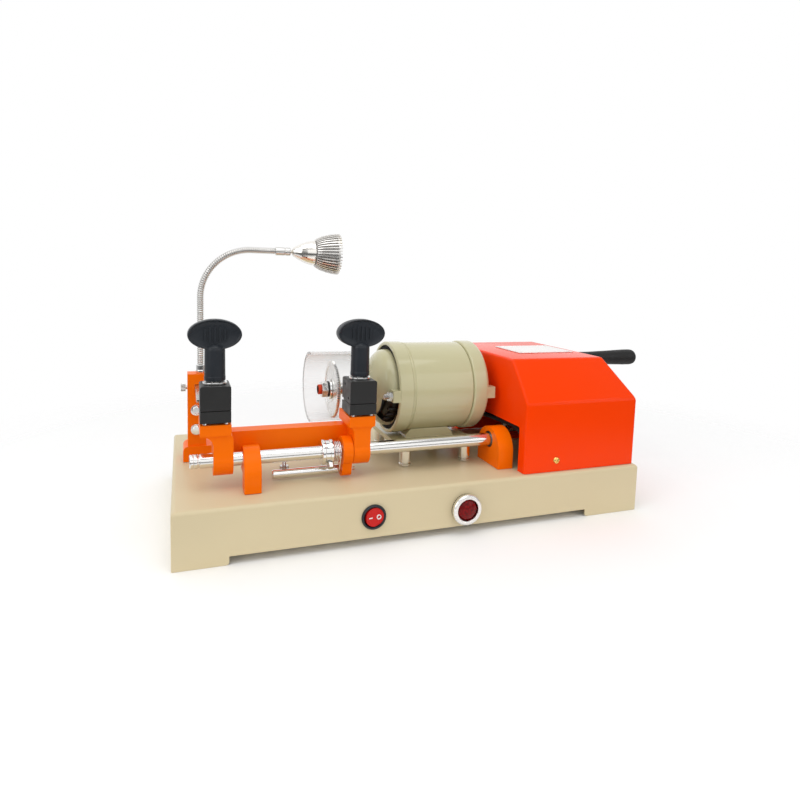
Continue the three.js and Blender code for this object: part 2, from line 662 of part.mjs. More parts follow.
function stopBoltPiece() {
  const headTop = stopBolt.headBottom + stopBolt.headHeight;
  return join(cylinderZ(stopBolt.headRadius, stopBolt.x, stopBolt.y, stopBolt.headBottom, headTop, 20),
    cylinderZ(stopBolt.radius, stopBolt.x, stopBolt.y, headTop - 1, beam.bottom + 12, 12));
}

// ---------------------------------------------------------------- vises, drawn about their own centre line

function chamferedBlock(z0, z1, edge) {
  const half = vise.width / 2;
  const shape = polygon([[-half, z0], [half, z0], [half, z1 - edge], [half - edge, z1], [-half + edge, z1],
    [-half, z1 - edge]]);
  return prismY(shape, -vise.depth / 2, vise.depth / 2);
}

function keyRebate(z0, z1) {
  return box(-vise.width, vise.width, vise.depth / 2 - 5, vise.depth / 2 + 1, z0, z1);
}

function lowerJaw() {
  const feet = [-9, 9].map((x) => cylinderZ(1.8, x, -11, arm.headTop + gap, jaw.bottom + 1, 12));
  return cut(join(box(-13, 13, -15, 15, jaw.bottom, jaw.split), ...feet),
    cylinderZ(stud.radius + gap, 0, 0, jaw.bottom - 1, jaw.split + 1),
    keyRebate(jaw.split - 1.2, jaw.split + 1));
}

function upperJaw() {
  return cut(chamferedBlock(jaw.lip, jaw.top, 1.2),
    cylinderZ(stud.radius + gap, 0, 0, jaw.lip - 1, jaw.top + 1), keyRebate(jaw.lip - 1, jaw.lip + 1.2));
}

function clampWasher() {
  return cut(cylinderZ(10.4, 0, 0, jaw.top + gap, jaw.top + 2.2),
    cylinderZ(stud.radius + gap, 0, 0, jaw.top, jaw.top + 4));
}

// A wing knob: a round stem and an oval paddle across it.
function clampKnob() {
  const paddle = new THREE.Shape().absellipse(
    0, knob.paddleZ, knob.width / 2, knob.height / 2, 0, 2 * Math.PI, false, 0);
  const stem = cylinderZ(knob.stemRadius, 0, 0, knob.bottom, knob.stemTop);
  const wing = prismY(paddle, -knob.thickness / 2, knob.thickness / 2, 14);
  return cut(join(stem, wing), cylinderZ(stud.radius + gap, 0, 0, knob.bottom - 1, stud.top + 3));
}

function makeVise(side, x) {
  const made = group(
    node('lower_jaw_' + side, lowerJaw(), blackOxide),
    node('upper_jaw_' + side, upperJaw(), blackOxide),
    node('clamp_stud_' + side, cylinderZ(stud.radius, 0, 0, stud.bottom, stud.top), steel),
    node('clamp_washer_' + side, clampWasher(), chrome),
    node('clamp_knob_' + side, clampKnob(), blackPlastic));
  made.position.set(x, vise.y, 0);
  return made;
}

// ---------------------------------------------------------------- drive cover and feed lever

function coverSolid(inset, bottom) {
  const side = polygon([[cover.front + inset, bottom], [cover.back - inset, bottom],
    [cover.back - inset, cover.top - inset], [cover.topFront + inset * 0.5, cover.top - inset],
    [cover.front + inset, cover.crease - inset * 0.5]]);
  const front = polygon([[cover.left + inset, bottom], [cover.right - inset, bottom],
    [cover.right - inset, cover.crease - inset * 0.5], [cover.topRight - inset * 0.5, cover.top - inset],
    [cover.left + inset, cover.top - inset]]);
  return overlap(prismX(side, cover.left, cover.right), prismY(front, cover.front, cover.back));
}

function driveCover() {
  const doorFront = cover.front + 12;
  const doorTop = 96;
  const door = box(cover.left - 1, cover.left + 3, doorFront, 40, deck - 1, doorTop);
  const handleSlot = box(cover.topRight - 6, cover.right + 1, 4, 55, lever.handleZ - 8, lever.handleZ + 8);
  const screwHole = cylinderY(1.9, coverScrew.x, cover.front - 1, cover.front + 3, coverScrew.z, 12);
  return cut(coverSolid(0, deck), coverSolid(sheet, deck - 1), door, handleSlot, screwHole);
}

function coverScrewPiece() {
  return join(cylinderY(3.6, coverScrew.x, cover.front - 2.3, cover.front - gap, coverScrew.z, 20),
    cylinderY(1.6, coverScrew.x, cover.front - 1, cover.front + 8, coverScrew.z, 12));
}

function leverPivot() {
  return join(cylinderZ(15, lever.x, lever.y, deck, deck + 6), cylinderZ(6, lever.x, lever.y, deck, 152),
    cylinderZ(8.5, lever.x, lever.y, 151, 155));
}

// A bell crank: the fork takes the pin on the shaft, the handle points to the right above it.
function feedLever() {
  const { armBottom, armTop } = lever;
  const hub = cylinderZ(11, lever.x, lever.y, armBottom, 150.5);
  const armBar = box(lever.x - 8, lever.x + 8, shaft.y - 19, lever.y, armBottom, armTop);
  const forkSlot = box(lever.x - 4.7, lever.x + 4.7, shaft.y - 20, shaft.y + 7, armBottom - 1, armTop + 1);
  const handle = cylinderX(lever.handleRadius, lever.x, grip.end - 24, lever.y, lever.handleZ);
  return cut(join(hub, armBar, handle), forkSlot, cylinderZ(6 + gap, lever.x, lever.y, 60, 160));
}

function leverGrip() {
  const profile = [[0, grip.start], [7.2, grip.start], [8.3, grip.start + 1.5], [8.6, grip.start + 20],
    [10.4, grip.end - 16], [10.4, grip.end - 7], [9.2, grip.end - 2.6], [6.5, grip.end - 0.5], [0, grip.end]];
  const bore = cylinderX(lever.handleRadius + gap, grip.start - 1, grip.end - 23, lever.y, lever.handleZ);
  return cut(turnedX(profile, lever.y, lever.handleZ), bore);
}

// ---------------------------------------------------------------- the whole machine

const machine = new THREE.Group();
machine.add(
  makeBase(),
  node('left_shaft_post', leftShaftPost(), orangePaint),
  node('right_shaft_block', rightShaftBlock(), orangePaint),
  node('motor_body', motorBody(), motorPaint),
  node('motor_front_bell', frontBell(), motorPaint),
  node('motor_rear_bell', rearBell(), motorPaint),
  node('motor_saddle', motorSaddle(), motorPaint),
  node('motor_tie_bolt', tieBolt(), steel),
  node('motor_cable', motorCable(), blackPlastic),
  ...makePillars(),
  node('motor_spindle', motorSpindle(), steel),
  node('cutter_wheel', cutterWheel(), steel),
  node('cutter_flange', cutterFlange(), steel),
  node('arbor_nut', arborNut(), steel),
  node('cutter_guard', cutterGuard(), clearPlastic),
  makeTracerAndLamp(),
  node('main_shaft', mainShaft(), chrome),
  node('shaft_pin', cylinderZ(linkPin.radius, linkPin.x, shaft.y, linkPin.bottom, linkPin.top, 20), steel),
  node('shaft_collar', shaftCollar(), chrome),
  node('collar_screw', collarScrew(), steel),
  node('carriage_frame', carriageFrame(), orangePaint),
  node('spring_ear', springEar(), orangePaint),
  node('torsion_spring', torsionSpring(), steel),
  node('spring_rod', springRodPiece(), chrome),
  node('stop_bolt', stopBoltPiece(), steel),
  makeVise('left', vise.left),
  makeVise('right', vise.right),
  node('drive_cover', driveCover(), coverPaint),
  node('cover_screw', coverScrewPiece(), brass),
  node('label_plate', box(128, 200, -45, 12, cover.top + gap, cover.top + 1.1), whitePlate),
  node('lever_pivot', leverPivot(), steel),
  node('feed_lever', feedLever(), blackOxide),
  node('lever_grip', leverGrip(), blackPlastic));

// The row's origin is the centre of the whole machine's footprint, on the bench.
const footprint = new THREE.Box3().setFromObject(machine);
machine.position.x = -(footprint.min.x + footprint.max.x) / 2;
machine.position.y = -(footprint.min.y + footprint.max.y) / 2;

export default machine;
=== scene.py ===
"""The looks of the key duplicating machine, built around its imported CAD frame.
Shapes are drawn in millimetres and scaled to metres when they become pieces. Their places come from the CAD
nodes' boxes."""

import json
from math import acos, cos, pi, radians, sin

import bmesh
import bpy
from mathutils import Matrix, Vector


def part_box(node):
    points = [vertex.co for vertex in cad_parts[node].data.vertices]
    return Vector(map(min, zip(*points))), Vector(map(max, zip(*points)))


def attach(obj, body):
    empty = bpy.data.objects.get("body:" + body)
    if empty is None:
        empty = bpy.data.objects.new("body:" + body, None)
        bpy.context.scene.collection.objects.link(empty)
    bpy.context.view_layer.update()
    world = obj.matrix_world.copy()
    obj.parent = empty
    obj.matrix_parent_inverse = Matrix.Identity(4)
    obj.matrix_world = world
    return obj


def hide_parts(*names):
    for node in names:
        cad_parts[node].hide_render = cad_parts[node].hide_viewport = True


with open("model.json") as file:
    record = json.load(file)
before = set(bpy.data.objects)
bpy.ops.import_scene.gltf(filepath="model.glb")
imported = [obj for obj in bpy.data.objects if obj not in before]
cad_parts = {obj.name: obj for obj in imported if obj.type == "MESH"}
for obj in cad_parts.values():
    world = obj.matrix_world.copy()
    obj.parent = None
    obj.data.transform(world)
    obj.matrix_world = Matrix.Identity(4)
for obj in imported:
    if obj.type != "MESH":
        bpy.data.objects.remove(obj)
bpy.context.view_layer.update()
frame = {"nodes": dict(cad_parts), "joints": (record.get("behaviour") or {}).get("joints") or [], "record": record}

MM = 0.001
GAP = 0.3  # the CAD keeps this between pieces that rest on each other
SHEET = 1.5  # steel sheet of the base and the cover
TAU = 2 * pi


class Extent:
    """A CAD node's box at rest, in millimetres."""

    def __init__(self, node):
        low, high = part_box(node)
        self.x0, self.y0, self.z0 = (c / MM for c in low)
        self.x1, self.y1, self.z1 = (c / MM for c in high)
        self.cx = (self.x0 + self.x1) / 2
        self.cy = (self.y0 + self.y1) / 2
        self.cz = (self.z0 + self.z1) / 2


# ---- shapes, as bmeshes in millimetres

AXES = {
    "X": Matrix(((0, 0, 1, 0), (1, 0, 0, 0), (0, 1, 0, 0), (0, 0, 0, 1))),  # (a, b, along) to (along, a, b)
    "Y": Matrix(((1, 0, 0, 0), (0, 0, 1, 0), (0, 1, 0, 0), (0, 0, 0, 1))),  # to (a, along, b)
    "Z": Matrix.Identity(4),  # to (a, b, along)
}


def closed(bm):
    bmesh.ops.remove_doubles(bm, verts=bm.verts, dist=1e-4)
    bmesh.ops.recalc_face_normals(bm, faces=bm.faces)
    return bm


def dissolve_flat(bm, degrees):
    bmesh.ops.dissolve_limit(bm, angle_limit=radians(degrees), verts=bm.verts, edges=bm.edges)


def rectangle(a0, a1, b0, b1):
    return [(a0, b0), (a1, b0), (a1, b1), (a0, b1)]


def serrated(a, b, inner, outer, count):
    """The outline of a knurled edge, with as many ridges as count."""
    points = []
    for i in range(2 * count):
        reach = outer if i % 2 else inner
        angle = TAU * i / (2 * count)
        points.append((a + reach * cos(angle), b + reach * sin(angle)))
    return points


def thread(start, pitch, count, even, odd):
    """A thread's points in a turned profile, whose radius goes from even to odd and back."""
    return [(odd if i % 2 else even, start + pitch * i) for i in range(count)]


def skin(bm, lower, upper):
    """The faces between two rings of as many points."""
    for i in range(len(lower)):
        j = (i + 1) % len(lower)
        bm.faces.new((lower[i], lower[j], upper[j], upper[i]))


def turned(axis, profile, a=0.0, b=0.0, steps=64, soft=0.0, start=0.0):
    """A turned piece. The profile is (radius, along) pairs, with along counted from start. It begins and ends
    on the axis, or it is a closed ring. Its corners are rounded by the radius soft."""
    profile = [(radius, start + along) for radius, along in profile]
    if soft:
        profile = softened(profile, soft, ring=profile[0][0] > 0)
    bm = bmesh.new()
    rings = []
    for radius, along in profile:
        ring = circle(a, b, radius, steps) if radius else [(a, b)]
        rings.append([bm.verts.new((u, v, along)) for u, v in ring])
    pairs = list(zip(rings, rings[1:]))
    if len(rings[0]) > 1:
        pairs.append((rings[-1], rings[0]))
    for lower, upper in pairs:
        for i in range(steps):
            j = (i + 1) % steps
            corners = [lower[i % len(lower)], lower[j % len(lower)], upper[j % len(upper)],
                       upper[i % len(upper)]]
            corners = list(dict.fromkeys(corners))
            if len(corners) > 2:
                bm.faces.new(corners)
    bm.transform(AXES[axis])
    return closed(bm)


def prism(axis, outline, low, high):
    """An outline of (a, b) points carried along an axis: (y, z) for X, (x, z) for Y and (x, y) for Z."""
    bm = bmesh.new()
    bottom = [bm.verts.new((a, b, low)) for a, b in outline]
    top = [bm.verts.new((a, b, high)) for a, b in outline]
    bm.faces.new(bottom)
    bm.faces.new(top)
    skin(bm, bottom, top)
    bm.transform(AXES[axis])
    return closed(bm)


def block(x0, x1, y0, y1, z0, z1):
    return prism("Z", rectangle(x0, x1, y0, y1), z0, z1)


def rod(axis, radius, low, high, a, b, steps=48, chamfer=0.0):
    profile = [(0, low), (radius - chamfer, low), (radius, low + chamfer), (radius, high - chamfer),
               (radius - chamfer, high), (0, high)]
    return turned(axis, profile, a, b, steps)


def hexagon(axis, radius, low, high, a, b, turn=0.0):
    """A hexagonal head whose corners are cut back by a cone at its lower end."""
    wide = radius * 1.04
    cone = turned(axis, [(0, low), (radius * 0.9, low), (wide, low + radius * 0.12), (wide, high), (0, high)],
                  a, b, 48)
    return meet(prism(axis, circle(a, b, radius, 6, turn, turn + TAU), low, high), cone)


def circle(a, b, radius, steps=48, start=0.0, end=TAU):
    """Points of an arc; a whole circle leaves out its last point, which is its first."""
    count = steps if end - start >= TAU - 1e-6 else steps + 1
    return [(a + radius * cos(start + (end - start) * i / steps),
             b + radius * sin(start + (end - start) * i / steps)) for i in range(count)]


def softened(points, radius, ring=True, steps=4):
    """The same polyline with its corners rounded."""
    made = []
    count = len(points)
    for i, corner in enumerate(points):
        if not ring and i in (0, count - 1):
            made.append(corner)
            continue
        here = Vector(corner)
        before = Vector(points[i - 1]) - here
        after = Vector(points[(i + 1) % count]) - here
        if before.length < 1e-6 or after.length < 1e-6:
            made.append(corner)
            continue
        start = here + before.normalized() * min(radius, before.length * 0.48)
        end = here + after.normalized() * min(radius, after.length * 0.48)
        for k in range(steps + 1):
            t = k / steps
            point = start * (1 - t) ** 2 + here * 2 * t * (1 - t) + end * t ** 2
            made.append(tuple(point))
    return made


def sweep(points, radius, sides=16):
    """A round bar along a list of points; radius is a number or a function of the distance along it."""
    path = [Vector(p) for p in points]
    bm = bmesh.new()
    normal = None
    rings = []
    travelled = 0.0
    for i, here in enumerate(path):
        ahead = path[min(i + 1, len(path) - 1)] - path[max(i - 1, 0)]
        tangent = ahead.normalized()
        if normal is None:
            normal = tangent.orthogonal().normalized()
        normal = (normal - tangent * normal.dot(tangent)).normalized()
        side = tangent.cross(normal)
        if i:
            travelled += (here - path[i - 1]).length
        size = radius(travelled) if callable(radius) else radius
        rings.append([bm.verts.new(here + (normal * a + side * b) * size) for a, b in circle(0, 0, 1, sides)])
    for lower, upper in zip(rings, rings[1:]):
        skin(bm, lower, upper)
    bm.faces.new(rings[0])
    bm.faces.new(rings[-1])
    return closed(bm)


def curve_through(points, steps=12):
    """A smooth Catmull-Rom line through the points."""
    knots = [Vector(p) for p in points]
    knots = [2 * knots[0] - knots[1]] + knots + [2 * knots[-1] - knots[-2]]
    made = []
    for p0, p1, p2, p3 in zip(knots, knots[1:], knots[2:], knots[3:]):
        for i in range(steps):
            t = i / steps
            made.append(0.5 * (2 * p1 + (p2 - p0) * t + (2 * p0 - 5 * p1 + 4 * p2 - p3) * t ** 2
                               + (3 * p1 - p0 - 3 * p2 + p3) * t ** 3))
    made.append(knots[-2])
    return made


def turn_about(bm, axis, angle, centre):
    bmesh.ops.rotate(bm, verts=bm.verts, cent=Vector(centre), matrix=Matrix.Rotation(angle, 3, axis))
    return bm


# ---- joining and cutting


def add_object(name, data):
    made = bpy.data.objects.new(name, data)
    bpy.context.scene.collection.objects.link(made)
    return made


def mesh_of(name, bm):
    """A mesh of the bmesh, which it uses up."""
    mesh = bpy.data.meshes.new(name)
    bm.to_mesh(mesh)
    bm.free()
    return mesh


def combine(operation, first, others):
    """One bmesh from the first and the others by UNION, DIFFERENCE or INTERSECT. It uses them up."""
    target, *tools = [add_object("temporary", mesh_of("temporary", bm)) for bm in (first, *others)]
    for tool in tools:
        modifier = target.modifiers.new("boolean", "BOOLEAN")
        modifier.operation = operation
        modifier.solver = "MANIFOLD"
        modifier.object = tool
    graph = bpy.context.evaluated_depsgraph_get()
    made = bmesh.new()
    made.from_object(target, graph)
    for spare in [target, *tools]:
        mesh = spare.data
        bpy.data.objects.remove(spare)
        bpy.data.meshes.remove(mesh)
    if not made.faces:
        raise ValueError(operation + " left nothing")
    bmesh.ops.remove_doubles(made, verts=made.verts, dist=1e-4)
    dissolve_flat(made, 0.3)
    return made


def join(first, *others):
    return combine("UNION", first, others)


def cut(first, *tools):
    return combine("DIFFERENCE", first, tools)


def meet(first, other):
    return combine("INTERSECT", first, [other])


def several(*bms):
    """Separate solids in one piece."""
    made = bmesh.new()
    for bm in bms:
        mesh = mesh_of("temporary", bm)
        made.from_mesh(mesh)
        bpy.data.meshes.remove(mesh)
    return made


# ---- pieces

body_of_node = {n: body for body, members in frame["record"]["behaviour"]["bodies"].items()
                for n in members}


def finish_shading(obj, angle):
    for polygon in obj.data.polygons:
        polygon.use_smooth = True
    obj.data.set_sharp_from_angle(angle=radians(angle))


def piece(name, bm, material, node, rounding=0.0, angle=32, segments=3, stands_in=True):
    """A piece that rides with a CAD node's body and stands in for it. Its edges are rounded
    where two faces meet at more than the angle."""
    bm.transform(Matrix.Scale(MM, 4))
    mesh = mesh_of(name, bm)
    mesh.materials.append(material)
    obj = add_object(name, mesh)
    finish_shading(obj, angle)
    if rounding:
        bevel = obj.modifiers.new("edge_rounding", "BEVEL")
        bevel.width = rounding * MM
        bevel.segments = segments
        bevel.limit_method = "ANGLE"
        bevel.angle_limit = radians(angle)
        bevel.harden_normals = True
        bevel.use_clamp_overlap = True
    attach(obj, body_of_node[node])
    if stands_in:
        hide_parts(node)
    return obj


def extra(name, bm, material, node, rounding=0.0):
    """A piece that is added to what a CAD node's piece shows."""
    return piece(name, bm, material, node, rounding, stands_in=False)


def refined(node, material, rounding):
    """The CAD node's own shape with rounded edges."""
    bm = bmesh.new()
    bm.from_mesh(frame["nodes"][node].data)
    bm.transform(Matrix.Scale(1 / MM, 4))
    bmesh.ops.remove_doubles(bm, verts=bm.verts, dist=1e-3)
    dissolve_flat(bm, 0.5)
    bmesh.ops.recalc_face_normals(bm, faces=bm.faces)
    return piece(node + "_finished", bm, material, node, rounding)


def dress(node, material):
    """A better material for a CAD node that stays."""
    obj = frame["nodes"][node]
    obj.data.materials.clear()
    obj.data.materials.append(material)


# ---- materials


class Tree:
    """A node tree with short calls for what is used here."""

    def __init__(self, tree):
        self.tree = tree

    def add(self, kind, inputs=None, **settings):
        made = self.tree.nodes.new(kind)
        for key, value in settings.items():
            setattr(made, key, value)
        for key, value in (inputs or {}).items():
            made.inputs[key].default_value = value
        return made

    def link(self, start, end):
        self.tree.links.new(start, end)


class Nodes(Tree):
    """A new material, with its textures placed in the object's own space, in metres."""

    def __init__(self, name):
        self.material = bpy.data.materials.new(name)
        self.material.use_nodes = True
        super().__init__(self.material.node_tree)
        self.shader = self.tree.nodes["Principled BSDF"]
        self.place = self.add("ShaderNodeTexCoord").outputs["Object"]

    def put(self, **values):
        for key, value in values.items():
            self.shader.inputs[key.replace("_", " ")].default_value = value

    def stretched(self, scale):
        mapping = self.add("ShaderNodeMapping", {"Scale": scale})
        self.link(self.place, mapping.inputs["Vector"])
        return mapping.outputs["Vector"]

    def noise(self, scale, detail=3.0, vector=None):
        texture = self.add("ShaderNodeTexNoise", {"Scale": scale, "Detail": detail})
        self.link(vector or self.place, texture.inputs["Vector"])
        return texture.outputs["Fac"]

    def ranged(self, source, low, high, start=0.3, end=0.7, socket="Roughness"):
        """The source's stretch from start to end, spread from low to high, drives a socket of the shader."""
        limits = {"From Min": start, "From Max": end, "To Min": low, "To Max": high}
        made = self.add("ShaderNodeMapRange", limits)
        self.link(source, made.inputs["Value"])
        self.link(made.outputs["Result"], self.shader.inputs[socket])

    def mixed(self, factor, first, second):
        """The base colour goes from first to second with the factor."""
        mix = self.add("ShaderNodeMix", {"A": (*first, 1), "B": (*second, 1)}, data_type="RGBA")
        self.link(factor, mix.inputs["Factor"])
        self.link(mix.outputs["Result"], self.shader.inputs["Base Color"])

    def bump(self, height, strength, depth, previous=None):
        """A bump of the depth in millimetres, on top of the previous one."""
        made = self.add("ShaderNodeBump", {"Strength": strength, "Distance": depth * MM})
        self.link(height, made.inputs["Height"])
        if previous is not None:
            self.link(previous, made.inputs["Normal"])
        self.link(made.outputs["Normal"], self.shader.inputs["Normal"])
        return made.outputs["Normal"]


def tint(color, factor):
    return tuple(min(1.0, c * factor) for c in color)


def enamel(name, color, roughness, peel_scale, peel_depth, coat=0.0, variation=0.02, specular=0.2):
    """Paint with the fine waviness of its sprayed surface and a slight change of shade."""
    made = Nodes(name)
    made.mixed(made.noise(9, 2.0), tint(color, 1 - variation), tint(color, 1 + variation))
    made.ranged(made.noise(240, 4.0), roughness * 0.93, roughness * 1.08)
    normal = made.bump(made.noise(peel_scale, 2.0), 0.5, peel_depth)
    made.bump(made.noise(peel_scale * 3.1, 2.0), 0.25, peel_depth * 0.3, normal)
    made.put(Coat_Weight=coat, Coat_Roughness=0.08, Specular_IOR_Level=specular)
    return made.material


def metal(name, color, roughness, grain_scale=600, depth=0.02, variation=0.04, grain=(1, 1, 1)):
    """Metal with fine tool marks, drawn out along the axis where grain is small."""
    made = Nodes(name)
    marks = made.noise(grain_scale, 3.0, made.stretched(grain))
    made.mixed(made.noise(60, 3.0), tint(color, 1 - variation), tint(color, 1 + variation))
    made.ranged(marks, roughness * 0.7, roughness * 1.4)
    made.bump(marks, 0.35, depth)
    made.put(Metallic=1.0)
    return made.material


def plastic(name, color, roughness, grain_scale=1800, depth=0.03):
    made = Nodes(name)
    made.mixed(made.noise(40, 3.0), tint(color, 0.85), tint(color, 1.2))
    made.ranged(made.noise(120, 3.0), roughness * 0.85, roughness * 1.2)
    made.bump(made.noise(grain_scale, 2.0), 0.4, depth)
    made.put(Specular_IOR_Level=0.3)
    return made.material


def clear_sheet():
    """Clear plastic: mostly see-through, with soft haze, faint scuffs and a gloss."""
    made = Nodes("clear_sheet")
    scuffs = made.noise(900, 4.0, made.stretched((1, 0.12, 0.12)))
    made.mixed(scuffs, (0.86, 0.87, 0.88), (0.92, 0.92, 0.93))
    facing = made.add("ShaderNodeLayerWeight", {"Blend": 0.3}).outputs["Facing"]
    made.ranged(facing, 0.11, 0.8, 0.05, 0.9, "Alpha")
    made.ranged(scuffs, 0.08, 0.12)
    made.bump(scuffs, 0.03, 0.01)
    made.put(IOR=1.45)
    return made.material


def frosted_edge():
    """The sawn edge of the clear sheet, which scatters light."""
    made = Nodes("frosted_edge")
    made.mixed(made.noise(700, 3.0), (0.6, 0.62, 0.63), (0.72, 0.74, 0.75))
    made.put(Alpha=0.5, Roughness=0.45, Specular_IOR_Level=0.3)
    return made.material


def red_glass():
    """Red glass with a pattern of small cells moulded into it."""
    made = Nodes("red_glass")
    cells = made.add("ShaderNodeTexVoronoi", {"Scale": 420})
    made.link(made.place, cells.inputs["Vector"])
    distance = cells.outputs["Distance"]
    made.mixed(distance, (0.26, 0.002, 0.003), (0.06, 0.0005, 0.001))
    made.ranged(distance, 0.06, 0.16, 0, 1)
    made.bump(distance, 0.5, 0.2)
    made.put(Coat_Weight=0.1, Coat_Roughness=0.04, Specular_IOR_Level=0.15)
    return made.material


beige = enamel("beige_texture_paint", (0.66, 0.56, 0.36), 0.4, 520, 0.14, 0.05, 0.03)
orange = enamel("orange_casting_enamel", (0.97, 0.165, 0.0005), 0.32, 160, 0.14, 0.03, 0.02, 0.08)
cover_red = enamel("orange_red_enamel", (0.97, 0.052, 0.0003), 0.2, 210, 0.03, 0.04, 0.01, 0.1)
khaki = enamel("khaki_motor_enamel", (0.56, 0.525, 0.32), 0.16, 60, 0.03, 0.6)
red_mark = enamel("red_paint_mark", (0.62, 0.06, 0.02), 0.45, 400, 0.1)
chrome = metal("chrome_plate", (0.86, 0.86, 0.85), 0.08, 300, 0.002, 0.02)
steel = metal("machined_steel", (0.62, 0.61, 0.59), 0.24, 900)
shaft_steel = metal("ground_shaft", (0.84, 0.83, 0.81), 0.12, 500, 0.002, 0.02, (6, 1, 1))
nickel = metal("nickel_spiral", (0.68, 0.67, 0.65), 0.16, 700, 0.004)
bright_steel = metal("bright_ground_steel", (0.86, 0.85, 0.83), 0.26, 700, 0.006, 0.02)
spring_steel = metal("spring_steel", (0.85, 0.85, 0.85), 0.14, 900, 0.004)
dark_steel = metal("dark_ground_steel", (0.16, 0.155, 0.15), 0.35, 900)
aluminium = metal("turned_aluminium", (0.86, 0.84, 0.81), 0.3, 500, 0.004, grain=(9, 1, 1))
polished = metal("polished_cone", (0.92, 0.89, 0.84), 0.16, 500, 0.008, grain=(12, 1, 1))
# A darker copy of the fins' aluminium: painted shade for the dark gaps between the fins.
shaded_aluminium = metal("bowl_aluminium_painted_shade", (0.42, 0.41, 0.4), 0.5, 900)
brass = metal("yellow_zinc", (0.83, 0.55, 0.16), 0.2)
blank_metal = metal("satin_plate", (0.95, 0.93, 0.91), 0.3, 500, grain=(1, 12, 1))
# Near-black winding: partly dark varnish, partly painted shade for the unlit inside of the motor.
winding = plastic("varnished_winding_and_painted_shade", (0.012, 0.007, 0.005), 0.3, 300, 0.4)
# Near-black for the ring in the motor's gap: painted shade that stands for the dark opening there.
painted_gap_shade = plastic("gap_painted_shade", (0.006, 0.006, 0.006), 0.8)
black_oxide = plastic("black_oxide", (0.022, 0.022, 0.022), 0.42, 900, 0.05)
black_plastic = plastic("black_moulding", (0.018, 0.022, 0.028), 0.36)
black_rubber = plastic("black_rubber", (0.014, 0.014, 0.014), 0.5, 700, 0.06)
red_plastic = plastic("red_moulding", (0.58, 0.006, 0.004), 0.45)
white_mark = plastic("white_print", (0.85, 0.82, 0.8), 0.4)
frosted = plastic("frosted_lens", (0.86, 0.86, 0.82), 0.3, 500, 0.2)
led_yellow = plastic("led_phosphor", (0.85, 0.65, 0.12), 0.4)
clear = clear_sheet()
clear_edge = frosted_edge()
red_lens = red_glass()

# ---- places that several pieces share

base = Extent("base_housing")
deck = Extent("motor_pillar_front_left").z0 - GAP
shaft = Extent("main_shaft")
SHAFT_RADIUS = 6.5
spindle = Extent("motor_spindle")
motor_y = Extent("cutter_wheel").cy
motor_z = Extent("cutter_wheel").cz

# ---- base


def rounded_box(x0, x1, y0, y1, z0, z1, top_radius, side_radius):
    """A box whose top edges and upright edges are rounded."""
    steps = 8
    levels = [(0.0, z0)]
    for i in range(steps + 1):
        angle = TAU / 4 * i / steps
        levels.append((top_radius * (1 - cos(angle)), z1 - top_radius + top_radius * sin(angle)))
    bm = bmesh.new()
    rings = []
    for inset, z in levels:
        outline = rectangle(x0 + inset, x1 - inset, y0 + inset, y1 - inset)
        rings.append([bm.verts.new((x, y, z)) for x, y in softened(outline, side_radius)])
    for lower, upper in zip(rings, rings[1:]):
        skin(bm, lower, upper)
    bm.faces.new(rings[0])
    bm.faces.new(rings[-1])
    return closed(bm)


LEFT_FOOT = 46  # lengths of the feet along the front
RIGHT_FOOT = 66
NOTCH = 7.5  # height of the cut between the feet
FOOT_CORNER = 2.6  # rounding of the feet's inner corners
BEND = 3.5  # outside radius of the folds


def make_base():
    """A folded sheet housing with a cut between its feet, a tab for the cover's screw and strips under it."""
    x0, x1, y0, y1 = base.x0, base.x1, base.y0, base.y1
    outside = rounded_box(x0, x1, y0, y1, 0, deck, BEND, 1.4)
    inside = rounded_box(x0 + SHEET, x1 - SHEET, y0 + SHEET, y1 - SHEET, -5, deck - SHEET, BEND - SHEET, 0.6)
    left = x0 + LEFT_FOOT
    right = x1 - RIGHT_FOOT
    notch = circle(left - FOOT_CORNER, FOOT_CORNER, FOOT_CORNER, 6, -TAU / 4, 0)
    notch += [(left, NOTCH), (right, NOTCH)]
    notch += circle(right + FOOT_CORNER, FOOT_CORNER, FOOT_CORNER, 6, TAU / 2, TAU * 3 / 4)
    notch += [(right + FOOT_CORNER, -1), (left - FOOT_CORNER, -1)]
    switch = Extent("switch_bezel")
    pilot = Extent("pilot_bezel")
    inlet = Extent("power_inlet")
    screw = Extent("cover_screw")
    cable_x, cable_y, _ = cable_route()[-1]
    shell = cut(outside, inside, prism("Y", notch, y0 - 1, y1 + 1),
                rod("Y", 10.6, y0 - 1, y0 + 3, switch.cx, switch.cz),
                rod("Y", 12.6, y0 - 1, y0 + 3, pilot.cx, pilot.cz),
                block(inlet.cx - 14.5, inlet.cx + 14.5, y1 - 3, y1 + 1, inlet.cz - 11, inlet.cz + 11),
                rod("Z", 3.6, deck - 3, deck + 1, cable_x, cable_y))
    tab = block(screw.cx - 9, screw.cx + 9, screw.y0 + 4.1, screw.y0 + 5.6, deck - 0.8, base.z1)
    tab_hole = rod("Y", 1.9, screw.y0 + 1, screw.y0 + 9, screw.cx, screw.cz, 24)
    feet = [block(x - 6.6, x + 6.6, y0 + 0.8, y1 - 0.8, 0, SHEET) for x in (x0 + 8, x1 - 8)]
    housing = cut(join(shell, tab, *feet), tab_hole)
    piece("base_shell", housing, beige, "base_housing", 0.35, 40, 2)
    dress("base_bottom_cover", beige)


